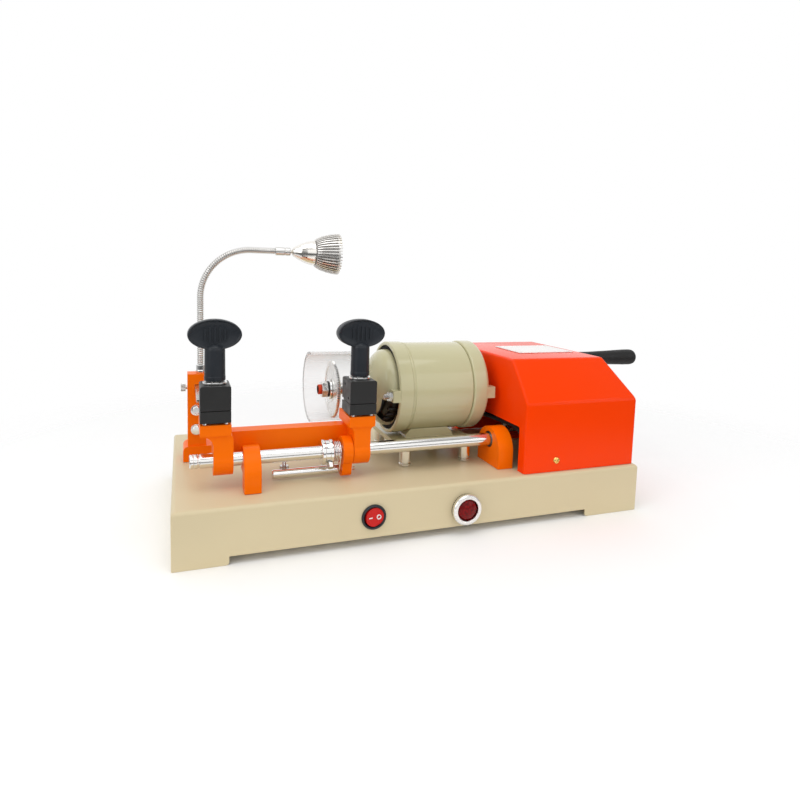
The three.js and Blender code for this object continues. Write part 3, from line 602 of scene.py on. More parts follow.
def make_inlet():
    inlet = Extent("power_inlet")
    x, z = inlet.cx, inlet.cz
    back = base.y1 + GAP
    flange = prism("Y", softened(rectangle(x - 20, x + 20, z - 13, z + 13), 3.5), back, inlet.y1)
    body = block(x - 14, x + 14, inlet.y0, back + 1, z - 10.5, z + 10.5)
    mouth = [(x - 12, z - 8.5), (x + 12, z - 8.5), (x + 12, z + 3.5), (x + 7, z + 8.5), (x - 7, z + 8.5),
             (x - 12, z + 3.5)]
    housing = cut(join(flange, body), prism("Y", mouth, back - 14, back + 5))
    piece("inlet_housing", housing, black_plastic, "power_inlet", 0.5)
    pins = [block(x + dx - 1, x + dx + 1, back - 14.5, back - 3, z + dz - 2, z + dz + 2)
            for dx, dz in ((-7, -2), (7, -2), (0, 2.5))]
    extra("inlet_pins", several(*pins), brass, "power_inlet", 0.3)
    for label, screw_x in (("left", x - 16.8), ("right", x + 16.8)):
        profile = [(0, -0.2), (2.8, -0.2), (1.5, -1.2), (0, -1.3)]
        head = turned("Y", profile, screw_x, z, 24, start=inlet.y1)
        extra("inlet_screw_" + label, head, steel, "power_inlet")


def make_switch():
    """A round rocker in a round cup. Two dished halves meet in a low ridge, as on any small mains rocker."""
    bezel = Extent("switch_bezel")
    x, z = bezel.cx, bezel.cz
    front = base.y0 - GAP
    cup = [(0, front + 15), (9.6, front + 15), (9.6, bezel.y0 + 0.4), (10, bezel.y0), (10.8, bezel.y0),
           (11.4, front - 1.5), (11.7, front - 0.8), (11.7, front), (10.3, front), (10.3, bezel.y1),
           (0, bezel.y1)]
    piece("switch_cup", turned("Y", cup, x, z, 96), black_plastic, "switch_bezel")
    tilt = radians(8)
    y = base.y0 + 2.2
    left = [(-9 + i * 9 / 8, -5 + 1.2 * (i / 8) + 0.6 * sin(pi * i / 8)) for i in range(9)]
    right = [(-a, b) for a, b in reversed(left[:-1])]
    outline = [(x + a, y + b) for a, b in left + right + [(7, 5), (-7, 5)]]
    cap = meet(prism("Z", outline, z - 9, z + 9), rod("Y", 8.7, y - 7, y + 7, x, z, 96))
    turn_about(cap, "Z", tilt, (x, y, z))
    piece("switch_cap", cap, red_plastic, "switch_rocker", 0.4, 35)
    ring = turned("Y", rectangle(1.5, 2.2, y - 4.75, y - 3), x + 4, z, 32)
    dash = block(x - 6, x - 2.4, y - 4.75, y - 3, z - 0.35, z + 0.35)
    for name, mark in (("switch_mark_off", ring), ("switch_mark_on", dash)):
        turn_about(mark, "Z", tilt, (x, y, z))
        extra(name, mark, white_mark, "switch_rocker")


PILOT_KNURLS = 48


def make_pilot():
    bezel = Extent("pilot_bezel")
    lens = Extent("pilot_lens")
    x, z = bezel.cx, bezel.cz
    face = base.y0 - GAP
    front = bezel.y0
    profile = [(10.6, front + 0.6), (10.6, face + 9), (12.2, face + 9), (12.2, face), (13.8, face),
               (13.8, face - 2), (15, face - 3), (15, face - 6), (13.6, front + 0.2), (11.6, front)]
    piece("pilot_ring", turned("Y", profile, x, z, 96, soft=0.6), bright_steel, "pilot_bezel")
    knurls = [block(x + 13.6, x + 14.3, face - 1.9, face - 0.3, z - 0.35, z + 0.35)
              for _ in range(PILOT_KNURLS)]
    for i, knurl in enumerate(knurls):
        turn_about(knurl, "Y", TAU * i / PILOT_KNURLS, (x, 0, z))
    extra("pilot_knurl", several(*knurls), dark_steel, "pilot_bezel")
    profile = [(0, 0)] + [(r, 3.2 * (r / 10.2) ** 2) for r in (2, 4, 6, 8, 9.4)]
    profile += [(10.2, 4), (10.2, lens.y1 - lens.y0), (0, lens.y1 - lens.y0)]
    piece("pilot_dome", turned("Y", profile, x, z, 72, start=lens.y0), red_lens, "pilot_lens")


# ---- motor


def motor_turned(profile, steps=96, soft=0.0, start=0.0):
    """A turned piece round the motor's axis."""
    return turned("X", profile, motor_y, motor_z, steps, soft, start)


def motor_rod(radius, low, high):
    return rod("X", radius, low, high, motor_y, motor_z)


def motor_lug(x0, x1):
    """The block that a tie bolt goes through."""
    return block(x0, x1, motor_y - 48.5, motor_y - 39, motor_z - 7, motor_z + 5)


def bell_vent(middle, low, high):
    """A curved opening along the dome's edge, centred at an angle round the motor's axis."""
    spread = radians(31)
    outline = circle(motor_y, motor_z, 43, 16, middle - spread, middle + spread)
    outline += circle(motor_y, motor_z, 28, 16, middle - spread, middle + spread)[::-1]
    return prism("X", softened(outline, 2), low, high)


WINDING_BUNDLES = 24


def make_winding(x0, x1):
    """The varnished coil seen through the vents, with its wires bundled along the motor's axis. Its near-black
    colour is partly dark varnish and partly painted shade for the motor's unlit inside.
    """
    coil = [(14, x0 + 14), (27, x0 + 13.4), (34.5, x0 + 18.5), (36, x0 + 24), (36, x1 - 0.5), (14, x1 - 0.5)]
    extra("motor_winding", motor_turned(coil, soft=3), winding, "motor_body")
    bundle = [(1.2, x0 + 15), (2.2, x0 + 17), (2.2, x1 - 2), (1.2, x1 - 2)]
    bundles = [turned("X", bundle, y, z, 12) for y, z in circle(motor_y, motor_z, 34.6, WINDING_BUNDLES)]
    extra("motor_winding_bundles", several(*bundles), winding, "motor_body")


def make_front_bell():
    """A dome inside a ring, with the gap between them darkened by a ring of painted shade, and two vents on the
    dome's underside.
    """
    bell = Extent("motor_front_bell")
    x0, x1 = bell.x0, bell.x1
    length = x1 - x0
    outer = bell.z1 - motor_z
    ring = 21.7
    gap_end = ring + 6
    dome = softened([(0, 0), (13, 0), (15, 2), (22, 3.5), (31, 7), (37.4, 12), (40.8, 18), (40.8, gap_end)],
                    3.5, False, 6)
    rim = [(45.2, gap_end), (45.2, ring + 0.6), (45.8, ring), (outer - 1.2, ring), (outer, ring + 1.2),
           (outer, length - 0.6), (outer - 0.8, length), (0, length)]
    hollow = [(0, 5.5), (22, 7.5), (30, 10.5), (35, 15), (38, 20), (38, length + 1), (0, length + 1)]
    vents = [bell_vent(-TAU / 4 + radians(48) * side, x0 + 2, x0 + 25) for side in (-1, 1)]
    shell = cut(motor_turned(dome + rim, 128, start=x0), motor_turned(hollow, start=x0), *vents)
    lug = motor_lug(x0 + 14.5, x0 + 24)
    bolt_y, bolt_z = motor_y - 44, motor_z - 1
    bolt_hole = rod("X", 3, x0 + 12, x0 + 22, bolt_y, bolt_z, 24)
    nut_space = rod("X", 5.6, x0 + 9, x0 + 14.5, bolt_y, bolt_z, 32)
    shaft_hole = motor_rod(6.3, x0 - 1, x1 + 1)
    piece("motor_bell_front", cut(join(shell, lug), shaft_hole, bolt_hole, nut_space), khaki,
          "motor_front_bell", 0.7, 38)
    # A black ring sunk in the gap between dome and ring: painted shade for the dark inside of the gap.
    painted_shade_ring = [(40.9, gap_end - 0.1), (40.9, ring + 1.6), (45.1, ring + 1.6), (45.1, gap_end - 0.1)]
    extra("motor_gap_painted_shade", motor_turned(painted_shade_ring, start=x0), painted_gap_shade, "motor_front_bell")
    make_winding(x0, x1)


def make_motor_body():
    start = Extent("motor_front_bell").x1 + GAP
    body = Extent("motor_body")
    radius = body.z1 - motor_z
    profile = [(6.4, start), (radius - 0.9, start), (radius - 0.9, start + 2.4), (radius, start + 3.2),
               (radius, body.x1 - 1.6), (radius - 1, body.x1), (6.4, body.x1)]
    piece("motor_barrel", motor_turned(profile, 128, 0.5), khaki, "motor_body")


def make_rear_bell():
    bell = Extent("motor_rear_bell")
    radius = bell.z1 - motor_z
    x0, x1 = bell.x0, bell.x1
    profile = [(0, x0), (radius - 1.2, x0), (radius, x0 + 1.2), (radius, x1 - 15.6), (47, x1 - 13.1),
               (42, x1 - 10), (34, x1 - 5.5), (22, x1 - 2.5), (15, x1 - 2), (15, x1), (0, x1)]
    _, cable_y, cable_z = cable_route()[0]
    hole = rod("X", 3.2, x1 - 13, x1 + 1, cable_y, cable_z, 24)
    shape = cut(join(motor_turned(profile, soft=1.2), motor_lug(x1 - 16, x1 - 6)), hole)
    piece("motor_bell_rear", shape, khaki, "motor_rear_bell", 0.7, 38)


def make_motor_fittings():
    refined("motor_saddle", khaki, 1.2)
    bolt = Extent("motor_tie_bolt")
    length = bolt.x1 - bolt.x0
    profile = [(0, 0), (1.9, 0)] + thread(0, 0.4, 10, 2.2, 2.6)[1:] + [(2.6, 4), (2.6, length), (0, length)]
    stud = turned("X", profile, bolt.cy, bolt.cz, 32, start=bolt.x0)
    nut = hexagon("X", 5, bolt.x0 + 4, bolt.x0 + 8, bolt.cy, bolt.cz)
    piece("motor_tie_nut", join(stud, nut), steel, "motor_tie_bolt")
    for label in ("front_left", "rear_left", "front_right", "rear_right"):
        node = "motor_pillar_" + label
        post = Extent(node)
        radius = (post.x1 - post.x0) / 2
        height = post.z1 - post.z0
        profile = [(0, 0), (radius - 0.5, 0), (radius, 0.5), (radius, 2.5), (radius - 0.5, 3),
                   (radius - 0.5, 3.8), (radius, 4.3), (radius, height - 1), (radius - 0.8, height),
                   (0, height)]
        shape = turned("Z", profile, post.cx, post.cy, 48, start=post.z0)
        piece(node + "_turned", shape, chrome, node)


def cable_route():
    """The motor's lead goes from the rear bell into the cover, over the shaft, and down through the deck."""
    start = Vector((Extent("motor_rear_bell").x1 - 8, motor_y - 4, motor_z - 33.5))
    offsets = [(0, 0, 0), (6, -1, -0.2), (12, -12, -0.4), (15, -38, 0), (17.5, -60, -0.2), (18.5, -74, -6),
               (18.5, -79, -20), (17.5, -78, -39.7)]
    return [start + Vector(offset) for offset in offsets]


def make_motor_cable():
    piece("motor_lead", sweep(curve_through(cable_route(), 8), 2.6, 20), black_rubber, "motor_cable")


# ---- cutter

TEETH = 72


def make_cutter():
    wheel = Extent("cutter_wheel")
    radius = wheel.z1 - wheel.cz
    thickness = wheel.x1 - wheel.x0
    tooth = ((0.0, radius), (0.16, radius - 0.12), (0.72, radius - 1.35), (0.9, radius - 1.25))
    outline = []
    for i in range(TEETH):
        for share, reach in tooth:
            angle = TAU * i / TEETH + TAU / TEETH * share
            outline.append((motor_y + reach * cos(angle), motor_z + reach * sin(angle)))
    toothed = prism("X", outline, wheel.x0, wheel.x1)
    wide = radius + 0.1
    cone = motor_turned([(0, 0), (radius - 1.6, 0), (wide, 1.3), (wide, thickness / 2),
                         (radius - 4, thickness), (0, thickness)], 144, 0.3, wheel.x0)
    recess = motor_turned(rectangle(13.2, 24.5, -1, 0.35), 96, 0.2, wheel.x0)
    bore = motor_rod(5.2, wheel.x0 - 1, wheel.x1 + 1)
    piece("cutter_disc", cut(meet(toothed, cone), recess, bore), bright_steel, "cutter_wheel", 0, 25)
    flange = Extent("cutter_flange")
    step = flange.x0 + (flange.x1 - flange.x0) * 0.4
    profile = [(5.3, step), (9.8, step), (10.5, step + 0.7), (10.5, flange.x1), (5.3, flange.x1)]
    piece("cutter_washer", motor_turned(profile, 64, 0.4), chrome, "cutter_flange")
    profile = [(5.3, flange.x0), (7.8, flange.x0), (8.2, flange.x0 + 0.4), (8.2, step), (5.3, step)]
    extra("cutter_spacer", motor_turned(profile, 64, 0.2), black_oxide, "cutter_flange")
    nut = Extent("arbor_nut")
    shape = cut(hexagon("X", 8.6, nut.x0, nut.x1, motor_y, motor_z), motor_rod(5.2, nut.x0 - 1, nut.x1 + 1))
    piece("cutter_nut", shape, bright_steel, "arbor_nut", 0.25)


def make_spindle():
    wheel = Extent("cutter_wheel")
    back = wheel.x1 + GAP
    tip = spindle.x0
    threads = 14
    start = tip + 3.2
    profile = [(0, tip), (4.2, tip), (4.6, tip + 0.5), (4.6, tip + 3)]
    profile += thread(start, (wheel.x0 - start) / threads, threads, 5.0, 4.6)
    profile += [(5, wheel.x0), (5, back), (10.4, back), (11, back + 0.6), (11, back + 4), (6, back + 4),
                (6, spindle.x1), (0, spindle.x1)]
    piece("spindle_shaft", motor_turned(profile, 48), steel, "motor_spindle")
    paint_end = min(tip + 6, Extent("arbor_nut").x0)
    profile = [(0, tip), (4.9, tip), (5.15, tip + 0.6), (5.15, paint_end), (0, paint_end)]
    extra("spindle_end_paint", motor_turned(profile, 32, 0.3), red_mark, "motor_spindle")


def make_guard():
    """Half a clear tube, open towards the front, with a wall at its right end and a sawn left end."""
    guard = Extent("cutter_guard")
    outer = guard.z1 - guard.cz
    wall = 2.5
    middle = guard.y1 - outer
    opening = middle - 2
    reach = acos(-2 / outer)

    def arc(radius):
        return [(max(a, opening), b) for a, b in circle(middle, guard.cz, radius, 48, -reach, reach)]

    outline = arc(outer) + arc(outer - wall)[::-1]
    edge = guard.x0 + 0.8
    shell = prism("X", outline, edge, guard.x1)
    back_wall = prism("X", arc(outer - wall / 2), guard.x1 - 2, guard.x1)
    hole = motor_rod(14, guard.x1 - 5, guard.x1 + 5)
    piece("guard_shell", cut(join(shell, back_wall), hole), clear, "cutter_guard", 0.7, 40)
    extra("guard_sawn_edge", prism("X", outline, guard.x0, edge), clear_edge, "cutter_guard")


# ---- tracer and lamp


def make_tracer():
    refined("tracer_post", orange, 1.0)
    refined("tracer_blade", steel, 0.4)
    for label in ("upper", "lower"):
        node = "tracer_bolt_" + label
        bolt = Extent(node)
        x, z = bolt.cx, bolt.cz
        washer = turned("Y", rectangle(0, 5.6, 3.6, 5), x, z, 48, 0.3, bolt.y0)
        head = hexagon("Y", 4.2, bolt.y0, bolt.y0 + 4, x, z, 0.3)
        stem = rod("Y", 2.5, bolt.y0 + 3, bolt.y1, x, z, 24, 0.5)
        piece(node + "_turned", join(washer, head, stem), chrome, node)
    screw = Extent("tracer_thumb_screw")
    y, z = screw.cy, screw.cz
    head = prism("X", serrated(y, z, 3.6, 4, 28), screw.x0, screw.x0 + 4.5)
    stem = rod("X", 2, screw.x0 + 4, screw.x1, y, z, 24, 0.3)
    slot = block(screw.x0 - 1, screw.x0 + 1, y - 0.5, y + 0.5, z - 5, z + 5)
    piece("tracer_screw_turned", cut(join(head, stem), slot), steel, "tracer_thumb_screw", 0.15)


NECK_RADIUS = 3.4
NECK_BEND = 50  # radius of the bend at the middle of the neck


def gooseneck_path(spacing):
    """Up from the foot, round a quarter bend and along X to the sleeve."""
    neck = Extent("gooseneck")
    x = neck.x0 + NECK_RADIUS
    top = neck.z1 - NECK_RADIUS
    straight = top - NECK_BEND
    count = int((straight - neck.z0) / spacing)
    path = [(x, neck.cy, neck.z0 + (straight - neck.z0) * i / count) for i in range(count)]
    count = int(NECK_BEND * pi / 2 / spacing)
    path += [(a, neck.cy, b)
             for a, b in circle(x + NECK_BEND, straight, NECK_BEND, count, pi, pi / 2)[:-1]]
    bend_end = x + NECK_BEND
    count = int((neck.x1 - bend_end) / spacing)
    path += [(bend_end + (neck.x1 - bend_end) * i / count, neck.cy, top) for i in range(count + 1)]
    return path


def make_gooseneck():
    pitch = 2.2

    def ridge(distance):
        return NECK_RADIUS - 0.9 * (0.5 + 0.5 * cos(TAU * distance / pitch)) ** 3

    piece("gooseneck_spiral", sweep(gooseneck_path(0.36), ridge, 24), nickel, "gooseneck", 0, 60)
    foot = Extent("lamp_base_ferrule")
    height = foot.z1 - foot.z0
    profile = [(0, 0), (5, 0), (5, 2.4), (4.6, 2.8), (4.6, height), (0, height)]
    shape = turned("Z", profile, foot.cx, foot.cy, 48, 0.4, foot.z0)
    piece("lamp_foot_ferrule", shape, chrome, "lamp_base_ferrule")
    sleeve = Extent("lamp_neck_ferrule")
    length = sleeve.x1 - sleeve.x0
    profile = [(0, 0), (3.9, 0), (4.3, 0.8), (4.3, 9.4), (3.9, 9.9), (3.9, 10.5), (4.3, 11),
               (4.3, length - 0.6), (3.6, length), (0, length)]
    shape = turned("X", profile, sleeve.cy, sleeve.cz, 48, 0.3, sleeve.x0)
    piece("lamp_neck_sleeve", shape, nickel, "lamp_neck_ferrule")


FINS = 40
LAMP_TILT = radians(1)


def make_lamp_head():
    """The head is drawn along X from its joint and then tilted about it."""
    joint = next(j for j in frame["joints"] if j["name"] == "lamp_tilt")
    place = Vector(joint["pos_m"]) / MM

    def head_piece(name, bm, material, node, rounding=0.0, angle=32, stands_in=True):
        bmesh.ops.translate(bm, verts=bm.verts, vec=place)
        turn_about(bm, "Y", LAMP_TILT, place)
        piece(name, bm, material, node, rounding, angle, stands_in=stands_in)

    cone = [(0, -0.3), (1, -0.3), (2.2, 0.8), (3.4, 1.2), (4.5, 1.9), (6, 4.6), (9, 10), (11.5, 16),
            (12.8, 21), (13.2, 24.4), (12.6, 25), (0, 25)]
    shape = turned("X", softened(cone, 0.9, False, 3), steps=96)
    head_piece("lamp_cone_turned", shape, polished, "lamp_cone")
    fins = []
    fin_side = softened([(25.6, 11), (25.6, 14.8), (31, 17.8), (38, 20), (45, 21.4), (51, 22), (51, 19.4),
                         (48, 18.8), (40, 15)], 0.4)
    for i in range(FINS):
        fins.append(turn_about(prism("Y", fin_side, -0.6, 0.6), "X", TAU * i / FINS, (0, 0, 0)))
    ring = turned("X", [(18.6, 47.4), (20.4, 47.4), (20.6, 49.2), (18.8, 49.2)], steps=96)
    head_piece("lamp_heat_sink_finned", join(ring, *fins), aluminium, "lamp_heat_sink", 0.12, 40)
    # The bowl between the fins takes the darker aluminium, which is painted shade.
    bowl = [(0, 25.3), (13, 25.3), (15.2, 33), (17.8, 42), (19.4, 48.4), (17.8, 48.4), (16.6, 42),
            (14.4, 34), (0, 34)]
    head_piece("lamp_bowl", turned("X", bowl, steps=96), shaded_aluminium, "lamp_heat_sink", stands_in=False)
    lens = turned("X", [(0, 42.5), (16.4, 42.5), (16.8, 44.3), (0, 45.3)], soft=0.3)
    head_piece("lamp_lens_disc", lens, frosted, "lamp_lens")
    for i, (a, b) in enumerate(circle(0, 0, 8.5, 3)):
        dome = turned("X", [(0, 47.4), (2.2, 47), (3.6, 45.9), (3.8, 44.5), (0, 44.5)], a, b, 32)
        head_piece("lamp_led_%d" % (i + 1), dome, led_yellow, "lamp_lens", stands_in=False)


# ---- shaft, collar and spring


def make_shaft():
    radius = SHAFT_RADIUS
    length = shaft.x1 - shaft.x0
    profile = [(0, 0), (radius - 1, 0), (radius, 1), (radius, 3.2), (radius - 0.6, 3.6), (radius, 4),
               (radius, 7), (radius - 0.9, 7.4), (radius - 0.9, 8.6), (radius, 9), (radius, length - 1),
               (radius - 1, length), (0, length)]
    ground = turned("X", profile, shaft.cy, shaft.cz, 96, 0.4, shaft.x0)
    pin = Extent("shaft_pin")
    hole = rod("Z", 3.3, pin.z0 - GAP, shaft.z1 + 4, pin.cx, pin.cy, 32)
    piece("main_shaft_ground", cut(ground, hole), shaft_steel, "main_shaft")
    piece("shaft_pin_ground", rod("Z", 3, pin.z0, pin.z1, pin.cx, pin.cy, 32, 0.5), steel, "shaft_pin")


def make_collar():
    """A collar with a shallow band round its middle and a set screw that points down and forward."""
    collar = Extent("shaft_collar")
    screw = Extent("collar_screw")
    outer = (collar.z1 - collar.z0) / 2
    bore = SHAFT_RADIUS + GAP
    length = collar.x1 - collar.x0
    profile = [(bore, 0), (outer - 0.8, 0), (outer, 0.8), (outer, 3.4), (outer - 0.7, 3.8),
               (outer - 0.7, length - 3.8), (outer, length - 3.4), (outer, length - 0.8),
               (outer - 0.8, length), (bore, length)]
    centre = Vector((screw.cx, shaft.cy, shaft.cz))

    def down_front(bm):
        bmesh.ops.translate(bm, verts=bm.verts, vec=centre)
        return turn_about(bm, "X", -TAU / 8, centre)

    ring = turned("X", profile, shaft.cy, shaft.cz, 96, 0.3, collar.x0)
    hole = down_front(rod("Z", 2.3, -20, -5, 0, 0, 24))
    piece("collar_turned", cut(ring, hole), chrome, "shaft_collar")
    head = down_front(hexagon("Z", 3.2, -17.5, -13, 0, 0))
    stem = down_front(rod("Z", 2, -14, -7.2, 0, 0, 24))
    piece("collar_screw_turned", join(head, stem), steel, "collar_screw")


def make_spring():
    """A coil round the shaft whose end leg hooks round the ear."""
    ear = Extent("spring_ear")
    wire = 0.62
    radius = 9.6
    turns = 3.5
    pitch = 1.65
    steps = 32
    start = Extent("shaft_collar").x1 + GAP + wire
    coil = []
    for i in range(int(turns * steps) + 1):
        angle = TAU * i / steps
        coil.append(Vector((start + pitch * i / steps, shaft.cy + radius * cos(angle),
                            shaft.cz + radius * sin(angle))))
    hook_y = shaft.cy - 3.6
    hook_z = 57.5
    leg_x = ear.x0 - 2.3
    leg = [coil[-1], (leg_x, shaft.cy - radius, shaft.cz - 5), (leg_x - 0.4, hook_y - 3.4, hook_z + 4),
           (leg_x + 0.2, hook_y - 1, hook_z + 0.8), (leg_x + 2, hook_y, hook_z),
           (ear.x1 + 0.6, hook_y, hook_z), (ear.x1 + 2.4, hook_y - 1.6, hook_z + 0.8),
           (ear.x1 + 2.8, hook_y - 4, hook_z + 3), (ear.x1 + 1.6, hook_y - 4.6, hook_z + 4.6)]
    shape = sweep(coil[:-1] + curve_through(leg, 6), wire, 12)
    piece("spring_wire", shape, spring_steel, "torsion_spring", 0, 60)


def make_spring_fittings():
    refined("spring_ear", orange, 0.8)
    bar = Extent("spring_rod")
    piece("spring_rod_turned", rod("X", 4.2, bar.x0, bar.x1, bar.cy, bar.cz, 64, 0.8), chrome, "spring_rod")
    bolt = Extent("stop_bolt")
    head_height = 3.6
    head = prism("Z", serrated(bolt.cx, bolt.cy, 4.0, 4.3, 24), bolt.z0, bolt.z0 + head_height)
    length = bolt.z1 - bolt.z0 - head_height
    profile = [(0, -1), (1.7, -1)] + thread(-0.5, 0.4, 28, 1.65, 2.0) + [(2, 11), (2, length), (0, length)]
    stem = turned("Z", profile, bolt.cx, bolt.cy, 32, start=bolt.z0 + head_height)
    piece("stop_bolt_turned", join(head, stem), steel, "stop_bolt")


def make_supports():
    refined("left_shaft_post", orange, 1.1)
    make_right_block()


# ---- carriage and vises


def make_right_block():
    """A block with a round top, bored for the shaft, with a dark seal sunk in its left face."""
    body = Extent("right_shaft_block")
    y, z = shaft.cy, shaft.cz
    half = (body.y1 - body.y0) / 2
    outline = [(body.y0, deck + GAP), (body.y1, deck + GAP)] + circle(y, body.z1 - half, half, 40, 0, pi)
    shape = cut(prism("X", outline, body.x0, body.x1), rod("X", 6.8, body.x0 - 1, body.x1 + 1, y, z, 64),
                rod("X", 8.7, body.x0 - 1, body.x0 + 3, y, z, 64))
    piece("right_block_cast", shape, orange, "right_shaft_block", 1.1)
    seal = turned("X", rectangle(6.6, 8.4, 0.4, 2.8), y, z, 64, 0.3, body.x0)
    extra("right_block_seal", seal, dark_steel, "right_shaft_block")


def make_carriage():
    refined("carriage_frame", orange, 0.9)


STUD_HOLE = 5.3  # radius of the holes that a clamp stud goes through


def paddle(x, y, z, width, height, half):
    """A dished oval plate with a raised rim, standing across the Y axis. Half is half its thickness."""
    rim = [(0.0, 0.76), (0.86, 0.76), (0.9, 0.84), (0.93, 0.97), (0.955, 1.0), (0.985, 0.92), (1.0, 0.62)]
    section = [(share, -depth * half) for share, depth in rim]
    section += [(share, depth * half) for share, depth in reversed(rim)]
    bm = turned("Y", section, 0, 0, 96)
    for vert in bm.verts:
        vert.co = Vector((x + vert.co.x * width / 2, y + vert.co.y, z + vert.co.z * height / 2))
    return bm


def make_knob(side):
    knob = Extent("clamp_knob_" + side)
    x, y, bottom = knob.cx, knob.cy, knob.z0
    height = 27
    half = 6  # of the paddle's thickness
    paddle_z = knob.z1 - height / 2
    plate = paddle(x, y, paddle_z, knob.x1 - knob.x0, height, half)
    ribs = []
    for step in (-2, -1, 0, 1, 2):
        length = 7.2 - 0.5 * step * step
        rib_x = x + 4.2 * step
        outline = rectangle(rib_x - 0.75, rib_x + 0.75, paddle_z - length, paddle_z + length)
        ribs.append(prism("Y", softened(outline, 0.7), y - half + 0.3, y + half - 0.3))
    profile = [(0, 0), (8.6, 0), (9.2, 0.8), (9.2, 4), (9, 4.3), (8.8, 28), (8, 30.4), (5.5, 32.4), (0, 33)]
    stem = turned("Z", profile, x, y, 64, 0.8, bottom)
    bore = rod("Z", STUD_HOLE, bottom - 1, bottom + 22, x, y, 32)
    shape = cut(join(plate, stem, *ribs), bore)
    piece("wing_knob_" + side, shape, black_plastic, "clamp_knob_" + side, 0.3, 40)


def make_upper_jaw(side, x, y):
    jaw = Extent("upper_jaw_" + side)
    corner = 1.2
    outline = [(jaw.x0, jaw.z0), (jaw.x1, jaw.z0), (jaw.x1, jaw.z1 - corner), (jaw.x1 - corner, jaw.z1),
               (jaw.x0 + corner, jaw.z1), (jaw.x0, jaw.z1 - corner)]
    rebate = block(jaw.x0 - 1, jaw.x1 + 1, jaw.y1 - 5, jaw.y1 + 1, jaw.z0 - 1, jaw.z0 + 1.2)
    side_holes = [rod("X", 1.3, jaw.x0 - 1, jaw.x0 + 4, y + dy, jaw.z0 + dz, 24)
                  for dy, dz in ((5, 16), (-8, 4.5))]
    bore = rod("Z", STUD_HOLE, jaw.z0 - 1, jaw.z1 + 1, x, y)
    shape = cut(prism("Y", outline, jaw.y0, jaw.y1), rebate, bore, *side_holes)
    piece("jaw_upper_" + side, shape, black_oxide, "upper_jaw_" + side, 0.35, 30)


def make_lower_jaw(side, x, y):
    """A plain block with a rebate and three grooves at its back, on two locating pins."""
    jaw = Extent("lower_jaw_" + side)
    top = jaw.z1
    bottom = top - 10.2
    rebate = block(jaw.x0 - 1, jaw.x1 + 1, jaw.y1 - 5, jaw.y1 + 1, top - 1.2, top + 1)
    grooves = [block(jaw.x0 - 1, jaw.x1 + 1, y1 - 0.4, y1, top - 1.6, top - 1)
               for y1 in (jaw.y1 - 2.0, jaw.y1 - 2.8, jaw.y1 - 3.6)]
    bore = rod("Z", STUD_HOLE, bottom - 1, top + 1, x, y)
    shape = cut(block(jaw.x0, jaw.x1, jaw.y0, jaw.y1, bottom, top), rebate, bore, *grooves)
    piece("jaw_lower_" + side, shape, black_oxide, "lower_jaw_" + side, 0.35, 30)
    pins = [rod("Z", 1.8, jaw.z0, bottom + 0.6, x + dx, y - 11, 24, 0.2) for dx in (-9, 9)]
    extra("jaw_pins_" + side, several(*pins), chrome, "lower_jaw_" + side)


def make_vise(side):
    upper = Extent("upper_jaw_" + side)
    x, y = upper.cx, upper.cy  # the stud's axis
    make_upper_jaw(side, x, y)
    make_lower_jaw(side, x, y)
    washer = Extent("clamp_washer_" + side)
    profile = rectangle(STUD_HOLE, 10.4, washer.z0, washer.z1)
    piece("washer_" + side, turned("Z", profile, x, y, 64, 0.4), chrome, "clamp_washer_" + side)
    bolt = Extent("clamp_stud_" + side)
    piece("stud_" + side, rod("Z", 5, bolt.z0, bolt.z1, x, y, 48, 0.8), steel, "clamp_stud_" + side)
    make_knob(side)


# ---- drive cover and lever

CREASE_DROP = 40.7  # from the cover's top down to where its slopes start
FRONT_SLOPE = 32.9  # how far the front slope leans back
RIGHT_SLOPE = 22.5  # how far the right slope leans in
DOOR_TOP = 96  # height of the doorway that faces the motor


def cover_hull(inset, bottom):
    cover = Extent("drive_cover")
    x0, x1 = cover.x0 + inset, cover.x1 - inset
    y0, y1 = cover.y0 + inset, cover.y1 - inset
    crease = cover.z1 - CREASE_DROP - inset * 0.5
    top = cover.z1 - inset
    front = cover.y0 + FRONT_SLOPE + inset * 0.5
    right = cover.x1 - RIGHT_SLOPE - inset * 0.5
    corners = [(x0, y0, bottom), (x1, y0, bottom), (x1, y1, bottom), (x0, y1, bottom), (x0, y0, crease),
               (x1, y0, crease), (x1, y1, crease), (x0, front, top), (right, front, top), (right, y1, top),
               (x0, y1, top)]
    bm = bmesh.new()
    for corner in corners:
        bm.verts.new(corner)
    bmesh.ops.convex_hull(bm, input=bm.verts)
    dissolve_flat(bm, 1)
    return closed(bm)


def round_folds(bm, radius, bottom):
    """Rounds every edge but the open lower ones."""
    folds = [e for e in bm.edges if max(v.co.z for v in e.verts) > bottom + 1]
    bmesh.ops.bevel(bm, geom=folds, offset=radius, segments=5, profile=0.5, affect="EDGES",
                    clamp_overlap=True)
    return closed(bm)


def make_cover():
    cover = Extent("drive_cover")
    bottom = cover.z0
    outside = round_folds(cover_hull(0, bottom), 2.6, bottom)
    inside = round_folds(cover_hull(SHEET, bottom - 4), 1.2, bottom - 4)
    front, back = cover.y0 + 12, cover.y1 - 18.7
    door = [(front, bottom - 1), (front, DOOR_TOP), (back, DOOR_TOP), (back, bottom - 1)]
    doorway = prism("X", softened(door, 3), cover.x0 - 1, cover.x0 + 4)
    handle_z = Extent("lever_grip").cz
    slot = block(cover.x1 - RIGHT_SLOPE - 6, cover.x1 + 1, cover.y1 - 54.7, cover.y1 - 3.7, handle_z - 8,
                 handle_z + 8)
    screw = Extent("cover_screw")
    screw_hole = rod("Y", 1.9, cover.y0 - 1, cover.y0 + 3, screw.cx, screw.cz, 24)
    shape = cut(outside, inside, doorway, slot, screw_hole)
    piece("cover_sheet", shape, cover_red, "drive_cover", 0.3, 50, 2)


